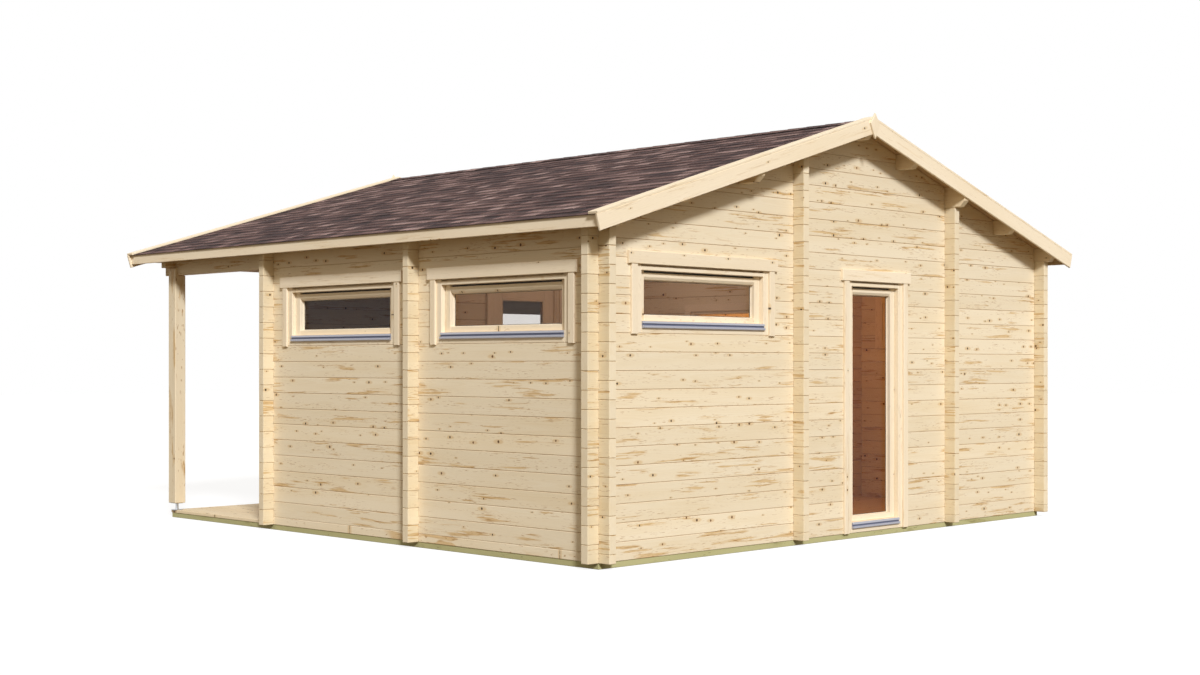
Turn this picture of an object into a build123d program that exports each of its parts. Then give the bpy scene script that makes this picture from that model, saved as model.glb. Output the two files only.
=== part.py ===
from build123d import *
import os
from math import cos, radians, sin, tan

# Sauna cabin of notched logs, with a low gable roof and a covered porch
# Millimetres, +Z up from the underside of the foundation beams
# The ridge runs along Y: the closed gable wall is at +Y and the porch at -Y

# Cabin sizes
wall_width = 5900.0          # outer face to outer face of the long walls
cabin_depth = 4070.0         # outer face of the back wall to outer face of the front wall
partition_offset = 2000.0    # outer face of the back wall to the cross partition
porch_depth = 1624.0         # outer face of the front wall to outer face of the porch gable
side_partition_x = 735.0     # middle of the side partition
short_crossing_x = -1405.0   # middle of the short crossing wall
short_crossing_length = 450.0

# Log sizes
log_height = 135.0
log_thickness = 70.0
corner_projection = 106.0    # log ends past the crossing wall
full_courses = 17            # whole logs in a long wall, above its half log
log_gap = 0.3                # play left between logs
foundation_height = 44.0
foundation_inset = 6.0       # beam face behind the wall face
floor_thickness = 29.0
deck_thickness = 26.0
joist_width = 45.0
joist_spacing = 600.0

# Roof sizes
roof_pitch = 17.0
purlin_depth = 128.0         # at a purlin's uphill face
middle_purlin_depth = 176.0  # over the short log wall
ridge_purlin_depth = 135.0
slope_purlins = ((663.0, purlin_depth), (1405.0, middle_purlin_depth), (2200.0, purlin_depth))
purlin_bevel = 52.0
back_overhang = 225.0        # barge board face past the back wall
front_overhang = 396.0       # barge board face past the porch gable
eave_overhang = 200.0        # fascia face past the long wall
roof_board_thickness = 19.0
shingle_thickness = 6.0
shingle_lip = 14.0           # shingles past the fascia
ridge_cap_width = 125.0
fascia_thickness = 18.0
fascia_height = 88.0
barge_thickness = 20.0
barge_depth = 118.0
barge_end = 40.0             # barge board past the fascia
barge_cap_width = 90.0
barge_cap_thickness = 20.0
finial_width = 124.0
finial_height = 215.0
finial_shoulder = 128.0      # widest point above the bottom tip
finial_rise = 25.0           # top tip above the barge cap
finial_thickness = 18.0

# Porch post sizes
post_width = 110.0
post_depth = 120.0
post_cheek = 30.0            # post past the side beam's outer face
post_lift = 67.0             # post above the deck
foot_rod_diameter = 28.0
foot_plate = 80.0
foot_plate_thickness = 5.0

# Window and door sizes
opening_gap = 0.5            # play of a frame in its log opening
window_courses = 4           # logs that a long window takes
window_first_course = 12
long_window_width = 1545.0   # in the back wall
side_window_margin = 192.5   # clear log wall each side of a side wall's long window
tall_window_width = 833.0
tall_window_head = 2169.0
frame_width = 85.0
frame_depth = 100.0
sash_width = 64.0
sash_depth = 56.0
sash_bottom_width = 43.0
sash_recess = 38.0           # sash face behind the frame face
sash_lift = 88.0             # sash bottom above the opening's bottom
glass_thickness = 4.0
glass_recess = 86.0          # glass face behind the frame face
casing_width = 62.0
casing_cover = 30.0          # casing over the opening's edge
casing_thickness = 20.0
casing_drop = 6.0            # side casings below the opening
head_casing_height = 92.0
head_casing_cover = 42.0     # head casing over the opening's top
head_casing_thickness = 25.0
head_casing_end = 33.0       # head casing past the side casings
sill_height = 50.0
sill_projection = 8.0
sill_nose = 20.0
entrance_width = 960.0
entrance_head = 2110.0
partition_door_x = 1810.0
partition_door_width = 800.0
partition_door_head = 2140.0
side_doorway_offset = 757.0  # from the back wall's outer face
side_doorway_width = 690.0
side_doorway_head = 1900.0
door_frame_width = 45.0
door_running_gap = 7.0       # leaf to frame, all round
leaf_thickness = 40.0
leaf_stile = 110.0
leaf_bottom_rail = 200.0
knob_diameter = 44.0
knob_reach = 45.0
knob_height = 1020.0
hinge_radius = 8.0
hinge_barrel = 45.0          # length of each half
hinge_plate_width = 32.0
hinge_plate_thickness = 3.0
hinge_inset = 220.0          # hinge middle from the leaf's top and bottom

# Places worked out from the sizes
slope = tan(radians(roof_pitch))
pitch_sin = sin(radians(roof_pitch))
pitch_cos = cos(radians(roof_pitch))
half_width = wall_width / 2
inner_half = half_width - log_thickness
wall_base = foundation_height
half_log = log_height / 2
wall_top = wall_base + half_log + full_courses * log_height
roof_length = back_overhang + cabin_depth + porch_depth + front_overhang
back_y = roof_length / 2 - back_overhang
partition_y = back_y - partition_offset
front_y = back_y - cabin_depth
porch_y = front_y - porch_depth
floor_top = wall_base + floor_thickness
deck_top = wall_base + deck_thickness
beam_bottom = wall_top - log_height
tie_bottom = beam_bottom + half_log

# Each cross wall as the Y range of its logs
back_wall_y = (back_y - log_thickness, back_y)
partition_wall_y = (partition_y - log_thickness, partition_y)
front_wall_y = (front_y, front_y + log_thickness)
porch_wall_y = (porch_y, porch_y + log_thickness)

# Each long wall as the X range of its logs
right_wall_x = (inner_half, half_width)
left_wall_x = (-half_width, -inner_half)
side_partition_range = (side_partition_x - log_thickness / 2, side_partition_x + log_thickness / 2)
short_crossing_range = (short_crossing_x - log_thickness / 2, short_crossing_x + log_thickness / 2)


def block(x1, x2, y1, y2, z1, z2):
    """Box between two corners."""
    size = (x2 - x1, y2 - y1, z2 - z1)
    return Pos(x1, y1, z1) * Box(*size, align=(Align.MIN, Align.MIN, Align.MIN))


def extrude_along_y(points, y1, y2):
    """Prism of an XZ outline between two Y values."""
    outline = [(x, z) for x, z in points]
    face = make_face(Polyline(*outline, close=True))
    return Pos(0, y2, 0) * extrude(Rot(90, 0, 0) * face, amount=y2 - y1, dir=(0, -1, 0))


def extrude_along_x(points, x1, x2):
    """Prism of a YZ outline between two X values."""
    outline = [(y, z) for y, z in points]
    face = Rot(0, 0, 90) * Rot(90, 0, 0) * make_face(Polyline(*outline, close=True))
    return Pos(x1, 0, 0) * extrude(face, amount=x2 - x1, dir=(1, 0, 0))


def save(name, shapes):
    """Write a node's solids to one STEP file."""
    solids = [solid for shape in shapes for solid in shape.solids()]
    whole = solids[0] if len(solids) == 1 else Compound(children=solids)
    export_step(whole, f"parts/{name}.step")


def roof_line(x):
    """Height of the roof boards' underside at an X."""
    return wall_top + purlin_depth + (inner_half - abs(x)) * slope


def course_count(base, top):
    """Number of courses that start below a height."""
    count = 0
    while base + count * log_height < top - log_gap:
        count += 1
    return count


# Roof outlines
ridge_z = roof_line(0)
roof_half = half_width + eave_overhang - fascia_thickness
shingle_half = half_width + eave_overhang + shingle_lip
board_rise = roof_board_thickness / pitch_cos
shingle_rise = shingle_thickness / pitch_cos
cap_rise = barge_cap_thickness / pitch_cos
purlin_back_end = back_y + back_overhang - barge_thickness
purlin_front_end = porch_y - front_overhang + barge_thickness


def under_roof(y1, y2):
    """The space below the roof boards."""
    outline = [(-roof_half, 0), (roof_half, 0), (roof_half, roof_line(roof_half)), (0, ridge_z),
               (-roof_half, roof_line(roof_half))]
    return extrude_along_y(outline, y1, y2)


def purlin(middle, side, depth=purlin_depth, play=0.0):
    """Purlin under one slope, its top cut to the roof and its ends bevelled."""
    inner = middle - log_thickness / 2
    outer = middle + log_thickness / 2
    bottom = roof_line(inner) - depth
    outline = [(side * (inner - play), bottom - play), (side * (outer + play), bottom - play),
               (side * (outer + play), roof_line(outer + play)),
               (side * (inner - play), roof_line(inner - play))]
    return bevel_ends(extrude_along_y(outline, purlin_front_end, purlin_back_end), bottom - play)


def ridge_purlin(play=0.0):
    """Purlin under the ridge, peaked to both slopes."""
    half = log_thickness / 2 + play
    bottom = ridge_z - ridge_purlin_depth - play
    outline = [(-half, bottom), (half, bottom), (half, roof_line(half)), (0, ridge_z),
               (-half, roof_line(half))]
    return bevel_ends(extrude_along_y(outline, purlin_front_end, purlin_back_end), bottom)


def bevel_ends(beam, bottom):
    """Cut the lower corner off both ends of a purlin."""
    for end, inward in ((purlin_back_end, -1), (purlin_front_end, 1)):
        corner = [(end, bottom), (end + inward * purlin_bevel, bottom), (end, bottom + purlin_bevel)]
        beam = beam - extrude_along_x(corner, -roof_half, roof_half)
    return beam


def purlin_pockets():
    """Room that the purlins take in a log gable."""
    pockets = [ridge_purlin(log_gap)]
    for middle, depth in slope_purlins:
        pockets += [purlin(middle, side, depth, log_gap) for side in (1, -1)]
    return pockets


def cross_wall(y_range, crossings, openings, first_course=0):
    """Logs along X from the foundation to the roof, lapped over the walls that cross them."""
    y1, y2 = y_range
    logs = []
    pockets = purlin_pockets()
    attic = under_roof(y1, y2)
    for course in range(first_course, course_count(wall_base, ridge_z)):
        bottom = wall_base + course * log_height
        top = bottom + log_height - log_gap
        in_gable = bottom > wall_top
        reach = inner_half - log_gap if in_gable else half_width + corner_projection
        log = block(-reach, reach, y1, y2, bottom, top)
        if top > roof_line(reach):
            log = log & attic
        for x1, x2, crossing_top in crossings:
            if bottom + half_log < crossing_top:
                log -= block(x1 - log_gap, x2 + log_gap, y1, y2, bottom + half_log - log_gap, top)
                if bottom == wall_base:
                    log -= block(x1 - log_gap, x2 + log_gap, y1, y2, bottom, bottom + half_log / 2)
        for x1, x2, z1, z2 in openings:
            if z1 < top and z2 > bottom:
                log -= block(x1, x2, y1, y2, z1, z2)
        if top > roof_line(half_width) - purlin_depth:
            for pocket in pockets:
                log -= pocket
        logs += log.solids()
    return logs


def long_wall(x_range, y_back, y_front, crossings, openings, top_limit, last_front=None, pockets=()):
    """Logs along Y: a half log first, then whole logs half a course above the cross walls."""
    x1, x2 = x_range
    logs = []
    attic = under_roof(y_front, y_back)
    base = wall_base + half_log
    courses = course_count(base, top_limit)
    for course in range(-1, courses):
        bottom = wall_base if course < 0 else base + course * log_height
        top = min(base + (course + 1) * log_height, top_limit) - log_gap
        end = last_front if last_front is not None and course == courses - 1 else y_front
        log = block(x1, x2, end, y_back, bottom, top)
        if top > min(roof_line(x1), roof_line(x2)):
            log = log & attic
        lap = half_log / 2 if course < 0 else half_log
        for y1, y2 in crossings:
            if bottom + lap < top:
                log -= block(x1, x2, y1 - log_gap, y2 + log_gap, bottom + lap - log_gap, top)
        for y1, y2, z1, z2 in openings:
            if z1 < top and z2 > bottom:
                log -= block(x1, x2, y1, y2, z1, z2)
        if top > min(roof_line(x1), roof_line(x2)) - purlin_depth:
            for pocket in pockets:
                log -= pocket
        logs += log.solids()
    return logs


class Opening:
    """A hole through a wall, and the place of what fills it."""

    def __init__(self, middle, width, z1, z2):
        self.middle = middle
        self.width = width
        self.z1 = z1
        self.z2 = z2

    def cut(self):
        """Range along the wall and in height."""
        half = self.width / 2
        return (self.middle - half, self.middle + half, self.z1, self.z2)


def bay_middle(start, end):
    """Middle of the clear wall between two crossings."""
    return (start + end) / 2


def side_window(start, end, z1, z2):
    """Long window in the clear wall between two crossings of a long wall."""
    width = end - start - 2 * side_window_margin
    return Opening(bay_middle(start, end), width, z1, z2)


# Window and door openings
cross_window_z = wall_base + window_first_course * log_height
long_window_z = cross_window_z - half_log
window_height = window_courses * log_height
back_window = Opening(bay_middle(side_partition_range[1], inner_half), long_window_width,
                      cross_window_z, cross_window_z + window_height)
tall_window = Opening(bay_middle(short_crossing_range[1], side_partition_range[0]), tall_window_width,
                      wall_base, tall_window_head)
side_window_z = (long_window_z, long_window_z + window_height)
rear_bay_window = side_window(partition_y, back_y - log_thickness, *side_window_z)
front_bay_window = side_window(front_y + log_thickness, partition_y - log_thickness, *side_window_z)
long_wall_windows = (rear_bay_window, front_bay_window)
entrance = Opening(0, entrance_width, floor_top, entrance_head)
partition_door = Opening(partition_door_x, partition_door_width, floor_top, partition_door_head)
side_doorway = Opening(back_y - side_doorway_offset, side_doorway_width, floor_top, side_doorway_head)


def place_outside(wall_face, turn):
    """Location that turns a piece made for a +Y wall onto another wall."""
    return Rot(0, 0, turn) * Pos(0, wall_face, 0)


def ring(x1, x2, z1, z2, left, right, bottom, top, y1, y2):
    """Rectangular frame with its four member widths, between two depths."""
    outer = block(x1, x2, y1, y2, z1, z2)
    return outer - block(x1 + left, x2 - right, y1, y2, z1 + bottom, z2 - top)


def window_frame(opening):
    """Fixed frame that fills the opening, and the sash inside it."""
    x1, x2, z1, z2 = opening.cut()
    x1 += opening_gap
    x2 -= opening_gap
    z1 += opening_gap
    z2 -= opening_gap
    frame = ring(x1, x2, z1, z2, frame_width, frame_width, sash_lift, frame_width, -frame_depth, 0)
    s1 = x1 + frame_width + opening_gap
    s2 = x2 - frame_width - opening_gap
    sz1 = z1 + sash_lift + opening_gap
    sz2 = z2 - frame_width - opening_gap
    sash = ring(s1, s2, sz1, sz2, sash_width, sash_width, sash_bottom_width, sash_width,
                -sash_recess - sash_depth, -sash_recess)
    return [frame, sash]


def window_glass(opening):
    """Pane in the sash."""
    x1, x2, z1, z2 = opening.cut()
    side = opening_gap * 3 + frame_width + sash_width
    low = opening_gap * 3 + sash_lift + sash_bottom_width
    pane = block(x1 + side, x2 - side, -glass_recess, -glass_recess + glass_thickness, z1 + low, z2 - side)
    return [pane]


def window_casing(opening):
    """Two side boards and a wider head board on the wall's face."""
    x1, x2, z1, z2 = opening.cut()
    inner = casing_cover
    outer = casing_width - casing_cover
    head_z = z2 - head_casing_cover
    foot_z = max(z1 - casing_drop, wall_base)
    left = block(x1 - outer, x1 + inner, 0, casing_thickness, foot_z, head_z - log_gap)
    right = block(x2 - inner, x2 + outer, 0, casing_thickness, foot_z, head_z - log_gap)
    reach = outer + head_casing_end
    head = block(x1 - reach, x2 + reach, 0, head_casing_thickness, head_z, head_z + head_casing_height)
    return [left, right, head]


def window_sill(opening):
    """Drip profile between the frame's stiles, below the sash."""
    x1, x2, z1, z2 = opening.cut()
    top = z1 + sash_lift
    start = x1 + frame_width + opening_gap * 2
    end = x2 - frame_width - opening_gap * 2
    outline = [(0, top), (0, top - sill_height), (sill_projection, top - sill_height),
               (sill_nose, top - sill_height + sill_projection), (sill_nose, top - sill_height / 2),
               (sill_projection, top)]
    return [extrude_along_x(outline, start, end)]


def windows(name, openings, location):
    """Save the pieces of every window in one wall, each kind in its own node."""
    for kind, maker in (("frames", window_frame), ("glass", window_glass), ("casings", window_casing),
                        ("sills", window_sill)):
        pieces = [location * piece for opening in openings for piece in maker(opening)]
        save(f"{name}_{kind}", pieces)


def door_frame(opening, y1, y2):
    """Two jambs and a head in a doorway."""
    x1, x2, z1, z2 = opening.cut()
    x1 += opening_gap
    x2 -= opening_gap
    z2 -= opening_gap
    left = block(x1, x1 + door_frame_width, y1, y2, z1, z2)
    right = block(x2 - door_frame_width, x2, y1, y2, z1, z2)
    head = block(x1 + door_frame_width + log_gap, x2 - door_frame_width - log_gap, y1, y2,
                 z2 - door_frame_width, z2)
    return [left, right, head]


def door_casing(opening, face, outward):
    """Boards round a doorway on one face of its wall."""
    x1, x2, z1, z2 = opening.cut()
    y1, y2 = sorted((face, face + outward * casing_thickness))
    cover = door_frame_width / 2
    width = casing_width - cover
    left = block(x1 - width, x1 + cover, y1, y2, z1, z2 - cover - log_gap)
    right = block(x2 - cover, x2 + width, y1, y2, z1, z2 - cover - log_gap)
    head = block(x1 - width, x2 + width, y1, y2, z2 - cover, z2 + width)
    return [left, right, head]


def leaf_range(opening):
    """Edges of a door leaf inside its frame."""
    x1, x2, z1, z2 = opening.cut()
    side = opening_gap + door_frame_width + door_running_gap
    return (x1 + side, x2 - side, z1 + door_running_gap, z2 - side)


def door_leaf(opening, y1, y2):
    """Stiles and rails of a glazed door."""
    x1, x2, z1, z2 = leaf_range(opening)
    return [ring(x1, x2, z1, z2, leaf_stile, leaf_stile, leaf_bottom_rail, leaf_stile, y1, y2)]


def door_glass(opening, middle_y):
    """Pane of a glazed door."""
    x1, x2, z1, z2 = leaf_range(opening)
    edge = leaf_stile + log_gap
    half = glass_thickness / 2
    return [block(x1 + edge, x2 - edge, middle_y - half, middle_y + half, z1 + leaf_bottom_rail + log_gap,
                  z2 - edge)]


def door_knobs(opening, y1, y2, handle_side):
    """A round knob on each face of a leaf, at its closing edge."""
    x1, x2, z1, z2 = leaf_range(opening)
    x = x1 + leaf_stile / 2 if handle_side < 0 else x2 - leaf_stile / 2
    knobs = []
    for y, outward in ((y1, -1), (y2, 1)):
        middle = y + outward * knob_reach / 2
        knobs.append(Pos(x, middle, knob_height) * Rot(90, 0, 0) * Cylinder(knob_diameter / 2, knob_reach))
    return knobs


def hinge_axis(opening, face, outward):
    """Line that a leaf turns about, just clear of the wall's face."""
    jamb = opening.cut()[1] - opening_gap - door_frame_width
    return (jamb - door_running_gap / 2, face + outward * (hinge_radius + log_gap))


def hinged(opening, leaf, jamb, face, outward):
    """Add the hinge halves to a leaf and to the jamb beside it."""
    x, y = hinge_axis(opening, face, outward)
    edge = door_running_gap / 2
    y1, y2 = sorted((face, face + outward * hinge_plate_thickness))
    bottom, top = leaf_range(opening)[2:]
    for z in (bottom + hinge_inset, top - hinge_inset):
        half = Pos(x, y, z - hinge_barrel / 2) * Cylinder(hinge_radius, hinge_barrel)
        jamb += half + block(x + edge, x + edge + hinge_plate_width, y1, y2, z - hinge_barrel, z)
        lift = z + log_gap
        half = Pos(x, y, lift + hinge_barrel / 2) * Cylinder(hinge_radius, hinge_barrel)
        leaf += half + block(x - edge - hinge_plate_width, x - edge, y1, y2, lift, lift + hinge_barrel)
    return leaf, jamb


def foundation():
    """Impregnated beams under the logs and the porch deck."""
    outer = half_width - foundation_inset
    inner = inner_half + foundation_inset
    front_end = porch_y + foundation_inset
    back_end = back_y - foundation_inset
    reach = inner - log_gap
    rows = [(back_y - log_thickness + foundation_inset, back_end)]
    rows.append((partition_y - log_thickness + foundation_inset, partition_y - foundation_inset))
    rows.append((front_y + foundation_inset, front_y + log_thickness - foundation_inset))
    rows.append((front_end, porch_y + log_thickness - foundation_inset))
    side_beams = [block(inner, outer, front_end, back_end, 0, foundation_height),
                  block(-outer, -inner, front_end, back_end, 0, foundation_height)]
    inside_walls = [(side_partition_range, rows[1][1] + log_gap),
                    (short_crossing_range, back_y - short_crossing_length)]
    for (x1, x2), end in inside_walls:
        side_beams.append(block(x1 + foundation_inset, x2 - foundation_inset, end, rows[0][0] - log_gap, 0,
                                foundation_height))
    save("foundation_side_beams", side_beams)
    cross_beams = [block(-reach, reach, y1, y2, 0, foundation_height) for y1, y2 in rows]
    save("foundation_cross_beams", cross_beams)
    joists = []
    bays = [(rows[index + 1][1] + log_gap, rows[index][0] - log_gap) for index in range(len(rows) - 1)]
    count = int(reach // joist_spacing)
    for y1, y2 in bays:
        for index in range(-count, count + 1):
            middle = index * joist_spacing
            joists.append(block(middle - joist_width / 2, middle + joist_width / 2, y1, y2, 0,
                                foundation_height))
    save("floor_joists", joists)


def floors():
    """Floor of each room, and the porch deck cut round the log ends."""
    reach = inner_half - log_gap
    back_room = (partition_y + log_gap, back_y - log_thickness - log_gap)
    front_room = (front_y + log_thickness + log_gap, partition_y - log_thickness - log_gap)
    small = block(side_partition_range[1] + log_gap, reach, *back_room, wall_base, floor_top)
    large = block(-reach, side_partition_range[0] - log_gap, *back_room, wall_base, floor_top)
    large -= block(short_crossing_range[0] - log_gap, short_crossing_range[1] + log_gap,
                   back_y - short_crossing_length - log_gap, back_y, wall_base, floor_top)
    x1, x2, z1, z2 = tall_window.cut()
    large -= block(x1, x2, back_y - frame_depth - log_gap, back_y, z1, z2)
    front = block(-reach, reach, *front_room, wall_base, floor_top)
    save("floor_slabs", [small, large, front])
    deck = block(-half_width, half_width, porch_y, front_y - log_gap, wall_base, deck_top)
    for x1, x2 in (right_wall_x, left_wall_x):
        deck -= block(x1 - log_gap, x2 + log_gap, front_y - corner_projection - log_gap, front_y,
                      wall_base, deck_top)
    save("terrace_deck", [deck])


def walls():
    """All log walls."""
    long_pair = [(*right_wall_x, wall_top + half_log), (*left_wall_x, wall_top + half_log)]
    side_crossing = (*side_partition_range, ridge_z)
    short_top = roof_line(abs(short_crossing_x) - log_thickness / 2) - middle_purlin_depth
    short_log_crossing = (*short_crossing_range, short_top)
    save("back_wall", cross_wall(back_wall_y, long_pair + [side_crossing, short_log_crossing],
                                 [back_window.cut(), tall_window.cut()]))
    save("cross_partition", cross_wall(partition_wall_y, long_pair + [side_crossing],
                                       [partition_door.cut()]))
    save("front_wall", cross_wall(front_wall_y, long_pair, [entrance.cut()]))
    save("porch_gable", cross_wall(porch_wall_y, long_pair, [], full_courses))
    crossings = [back_wall_y, partition_wall_y, front_wall_y]
    back_end = back_y + corner_projection
    front_end = front_y - corner_projection
    openings = [window.cut() for window in long_wall_windows]
    for name, x_range in (("right_wall", right_wall_x), ("left_wall", left_wall_x)):
        logs = long_wall(x_range, back_end, front_end, crossings + [porch_wall_y], openings, wall_top,
                         porch_y - corner_projection)
        save(name, logs)
    save("side_partition", long_wall(side_partition_range, back_end, partition_y - log_thickness,
                                     [back_wall_y, partition_wall_y], [side_doorway.cut()],
                                     roof_line(side_partition_range[0]), pockets=purlin_pockets()))
    save("short_crossing", long_wall(short_crossing_range, back_end, back_y - short_crossing_length,
                                     [back_wall_y], [], short_top))


def roof():
    """Purlins, boards, shingles and trim of the roof."""
    eave_middle = inner_half + log_thickness / 2
    save("eave_purlins", [purlin(eave_middle, side) for side in (1, -1)])
    purlins = [purlin(middle, side, depth) for middle, depth in slope_purlins for side in (1, -1)]
    save("roof_purlins", purlins + [ridge_purlin()])
    y1 = purlin_front_end
    y2 = purlin_back_end
    for name, side in (("right", 1), ("left", -1)):
        low = roof_line(roof_half)
        boards = [(0, ridge_z), (side * roof_half, low), (side * roof_half, low + board_rise),
                  (0, ridge_z + board_rise)]
        save(f"roof_boards_{name}", [extrude_along_y(boards, y1, y2)])
        edge = roof_line(shingle_half) + board_rise
        shingles = [(0, ridge_z + board_rise), (side * shingle_half, edge),
                    (side * shingle_half, edge + shingle_rise), (0, ridge_z + board_rise + shingle_rise)]
        save(f"shingles_{name}", [extrude_along_y(shingles, y1, y2)])
    top = ridge_z + board_rise + shingle_rise
    drop = ridge_cap_width * pitch_sin
    wide = ridge_cap_width * pitch_cos
    cap = [(0, top), (wide, top - drop), (wide, top - drop + shingle_rise), (0, top + shingle_rise),
           (-wide, top - drop + shingle_rise), (-wide, top - drop)]
    inset = barge_cap_width - barge_thickness + log_gap
    save("ridge_cap", [extrude_along_y(cap, y1 + inset, y2 - inset)])
    fascias = []
    fascia_top = roof_line(roof_half) + board_rise - fascia_thickness * slope
    for side in (1, -1):
        x1, x2 = sorted((side * (roof_half + log_gap), side * (roof_half + fascia_thickness)))
        fascias.append(block(x1, x2, y1, y2, fascia_top - fascia_height, fascia_top))
    save("eave_fascias", fascias)
    barge_pieces(y1, y2)


def slope_board(side, top_z, depth, y1, y2):
    """Board that follows the slope from the ridge to past the eave, its end cut square."""
    reach = half_width + eave_overhang + barge_end
    end_z = top_z - reach * slope
    outline = [(side * log_gap / 2, top_z - log_gap / 2 * slope), (side * reach, end_z),
               (side * (reach - depth * pitch_sin), end_z - depth * pitch_cos),
               (side * log_gap / 2, top_z - log_gap / 2 * slope - depth / pitch_cos)]
    return extrude_along_y(outline, y1, y2)


def barge_pieces(y1, y2):
    """Barge boards with their caps, and a kite-shaped board over each peak."""
    board_top = ridge_z + board_rise + shingle_rise
    boards = []
    caps = []
    for start, outward in ((y2, 1), (y1, -1)):
        low, high = sorted((start, start + outward * barge_thickness))
        boards += [slope_board(side, board_top, barge_depth, low, high) for side in (1, -1)]
    save("barge_boards", boards)
    for start, inward in ((y2 + barge_thickness, -1), (y1 - barge_thickness, 1)):
        low, high = sorted((start, start + inward * barge_cap_width))
        caps += [slope_board(side, board_top + cap_rise, barge_cap_thickness, low, high) for side in (1, -1)]
    save("barge_caps", caps)
    tip = board_top + cap_rise + finial_rise
    foot = tip - finial_height
    kite = [(0, tip), (finial_width / 2, foot + finial_shoulder), (0, foot),
            (-finial_width / 2, foot + finial_shoulder)]
    finials = []
    for start, outward in ((y2 + barge_thickness, 1), (y1 - barge_thickness, -1)):
        low, high = sorted((start, start + outward * finial_thickness))
        finials.append(extrude_along_y(kite, low, high))
    save("finials", finials)


def porch_posts():
    """Posts notched under the side beams, on steel feet that lift them off the deck."""
    posts = []
    feet = []
    bottom = deck_top + post_lift
    for side in (1, -1):
        outer = half_width + post_cheek
        inner = outer - post_width
        x1, x2 = sorted((side * inner, side * outer))
        post = block(x1, x2, porch_y, porch_y + post_depth, bottom, tie_bottom - log_gap)
        n1, n2 = sorted((side * (inner - log_gap), side * (half_width + log_gap)))
        post -= block(n1, n2, porch_y, porch_y + post_depth, beam_bottom - log_gap, tie_bottom)
        posts.append(post)
        middle_x = (x1 + x2) / 2
        middle_y = porch_y + post_depth / 2
        plate = Box(foot_plate, foot_plate, foot_plate_thickness)
        rod = Pos(0, 0, post_lift / 2) * Cylinder(foot_rod_diameter / 2, post_lift)
        low_plate = Pos(0, 0, foot_plate_thickness / 2) * plate
        high_plate = Pos(0, 0, post_lift - foot_plate_thickness / 2) * plate
        feet.append(Pos(middle_x, middle_y, deck_top) * (rod + low_plate + high_plate))
    save("porch_posts", posts)
    save("post_feet", feet)


def glazing():
    """Windows in the back wall and in both long walls."""
    windows("back_window", [back_window, tall_window], place_outside(back_y, 0))
    # A turn of -90 degrees sends +Y to +X and +X to -Y
    right = [Opening(-window.middle, window.width, window.z1, window.z2) for window in long_wall_windows]
    windows("right_window", right, place_outside(half_width, -90))
    windows("left_window", list(long_wall_windows), place_outside(half_width, 90))


def glazed_door(name, opening, wall_y, inset, outward):
    """Frame with its casing, leaf with hinges and knobs, and the pane of one doorway."""
    low, high = wall_y
    face = low + inset if outward < 0 else high - inset
    y1, y2 = sorted((face, face - outward * leaf_thickness))
    leaf = door_leaf(opening, y1, y2)[0]
    for knob in door_knobs(opening, y1, y2, -1):
        leaf += knob
    frame_low = low if outward > 0 else face
    frame_high = high if outward < 0 else face
    left, right, head = door_frame(opening, frame_low, frame_high)
    leaf, right = hinged(opening, leaf, right, face, outward)
    save(f"{name}_frame", [left, right, head] + door_casing(opening, high if outward < 0 else low, -outward))
    save(f"{name}_leaf", [leaf])
    save(f"{name}_glass", door_glass(opening, (y1 + y2) / 2))


def doors():
    """Entrance, swinging partition door and the open doorway in the side partition."""
    glazed_door("entrance", entrance, front_wall_y, 0, -1)
    glazed_door("partition_door", partition_door, partition_wall_y, 0, -1)
    wall_turn = Rot(0, 0, 90)
    x1, x2 = side_partition_range
    save("side_doorway_frame", [wall_turn * piece for piece in door_frame(side_doorway, -x2, -x1)
                                + door_casing(side_doorway, -x2, -1)])
    print("partition door hinge", hinge_axis(partition_door, partition_wall_y[0], -1))


os.makedirs("parts", exist_ok=True)
foundation()
floors()
walls()
roof()
porch_posts()
glazing()
doors()
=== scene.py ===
"""Looks of the log sauna cabin: boards, shingles, joinery and finishes over the fixed frame of solids."""

import logging
import math
import random
from collections.abc import Iterable, Sequence
from dataclasses import dataclass
from enum import Enum

import bmesh
import bpy
from mathutils import Matrix, Vector


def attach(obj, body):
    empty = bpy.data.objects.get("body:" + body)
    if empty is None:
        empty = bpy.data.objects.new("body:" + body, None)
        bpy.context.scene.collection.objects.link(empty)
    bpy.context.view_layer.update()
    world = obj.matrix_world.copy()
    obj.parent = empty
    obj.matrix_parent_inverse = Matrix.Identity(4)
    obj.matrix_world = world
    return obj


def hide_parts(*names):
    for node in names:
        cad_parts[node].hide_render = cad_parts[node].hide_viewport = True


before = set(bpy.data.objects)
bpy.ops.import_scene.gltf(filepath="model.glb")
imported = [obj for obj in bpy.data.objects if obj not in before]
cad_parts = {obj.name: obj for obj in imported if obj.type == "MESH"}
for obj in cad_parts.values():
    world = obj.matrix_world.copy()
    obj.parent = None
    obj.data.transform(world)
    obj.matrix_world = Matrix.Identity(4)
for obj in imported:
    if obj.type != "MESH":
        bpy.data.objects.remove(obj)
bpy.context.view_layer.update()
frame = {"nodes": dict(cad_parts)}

log = logging.getLogger("cabin")

Colour = tuple[float, float, float]
Triple = tuple[float, float, float]
Rect = tuple[float, float, float, float]
Socket = bpy.types.NodeSocket
Material = bpy.types.Material
Mesh = bmesh.types.BMesh
Vert = bmesh.types.BMVert

IDENTITY = Matrix.Identity(4)
SIDES = (("right", 1), ("left", -1))
JOINT_GAP = 0.0002


class Axis(Enum):
    """How the grain of a solid is found."""

    WORLD = "along the world axis nearest to the longest edge"
    EDGE = "along the longest edge"


class Slot(Enum):
    """Material slots, one named in the Part of each new piece."""

    SPRUCE = "spruce"
    IMPREGNATED = "impregnated_wood"
    SHINGLE = "bitumen_shingle"
    SILL = "sill_metal"
    STEEL = "foot_steel"


# Materials


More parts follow.
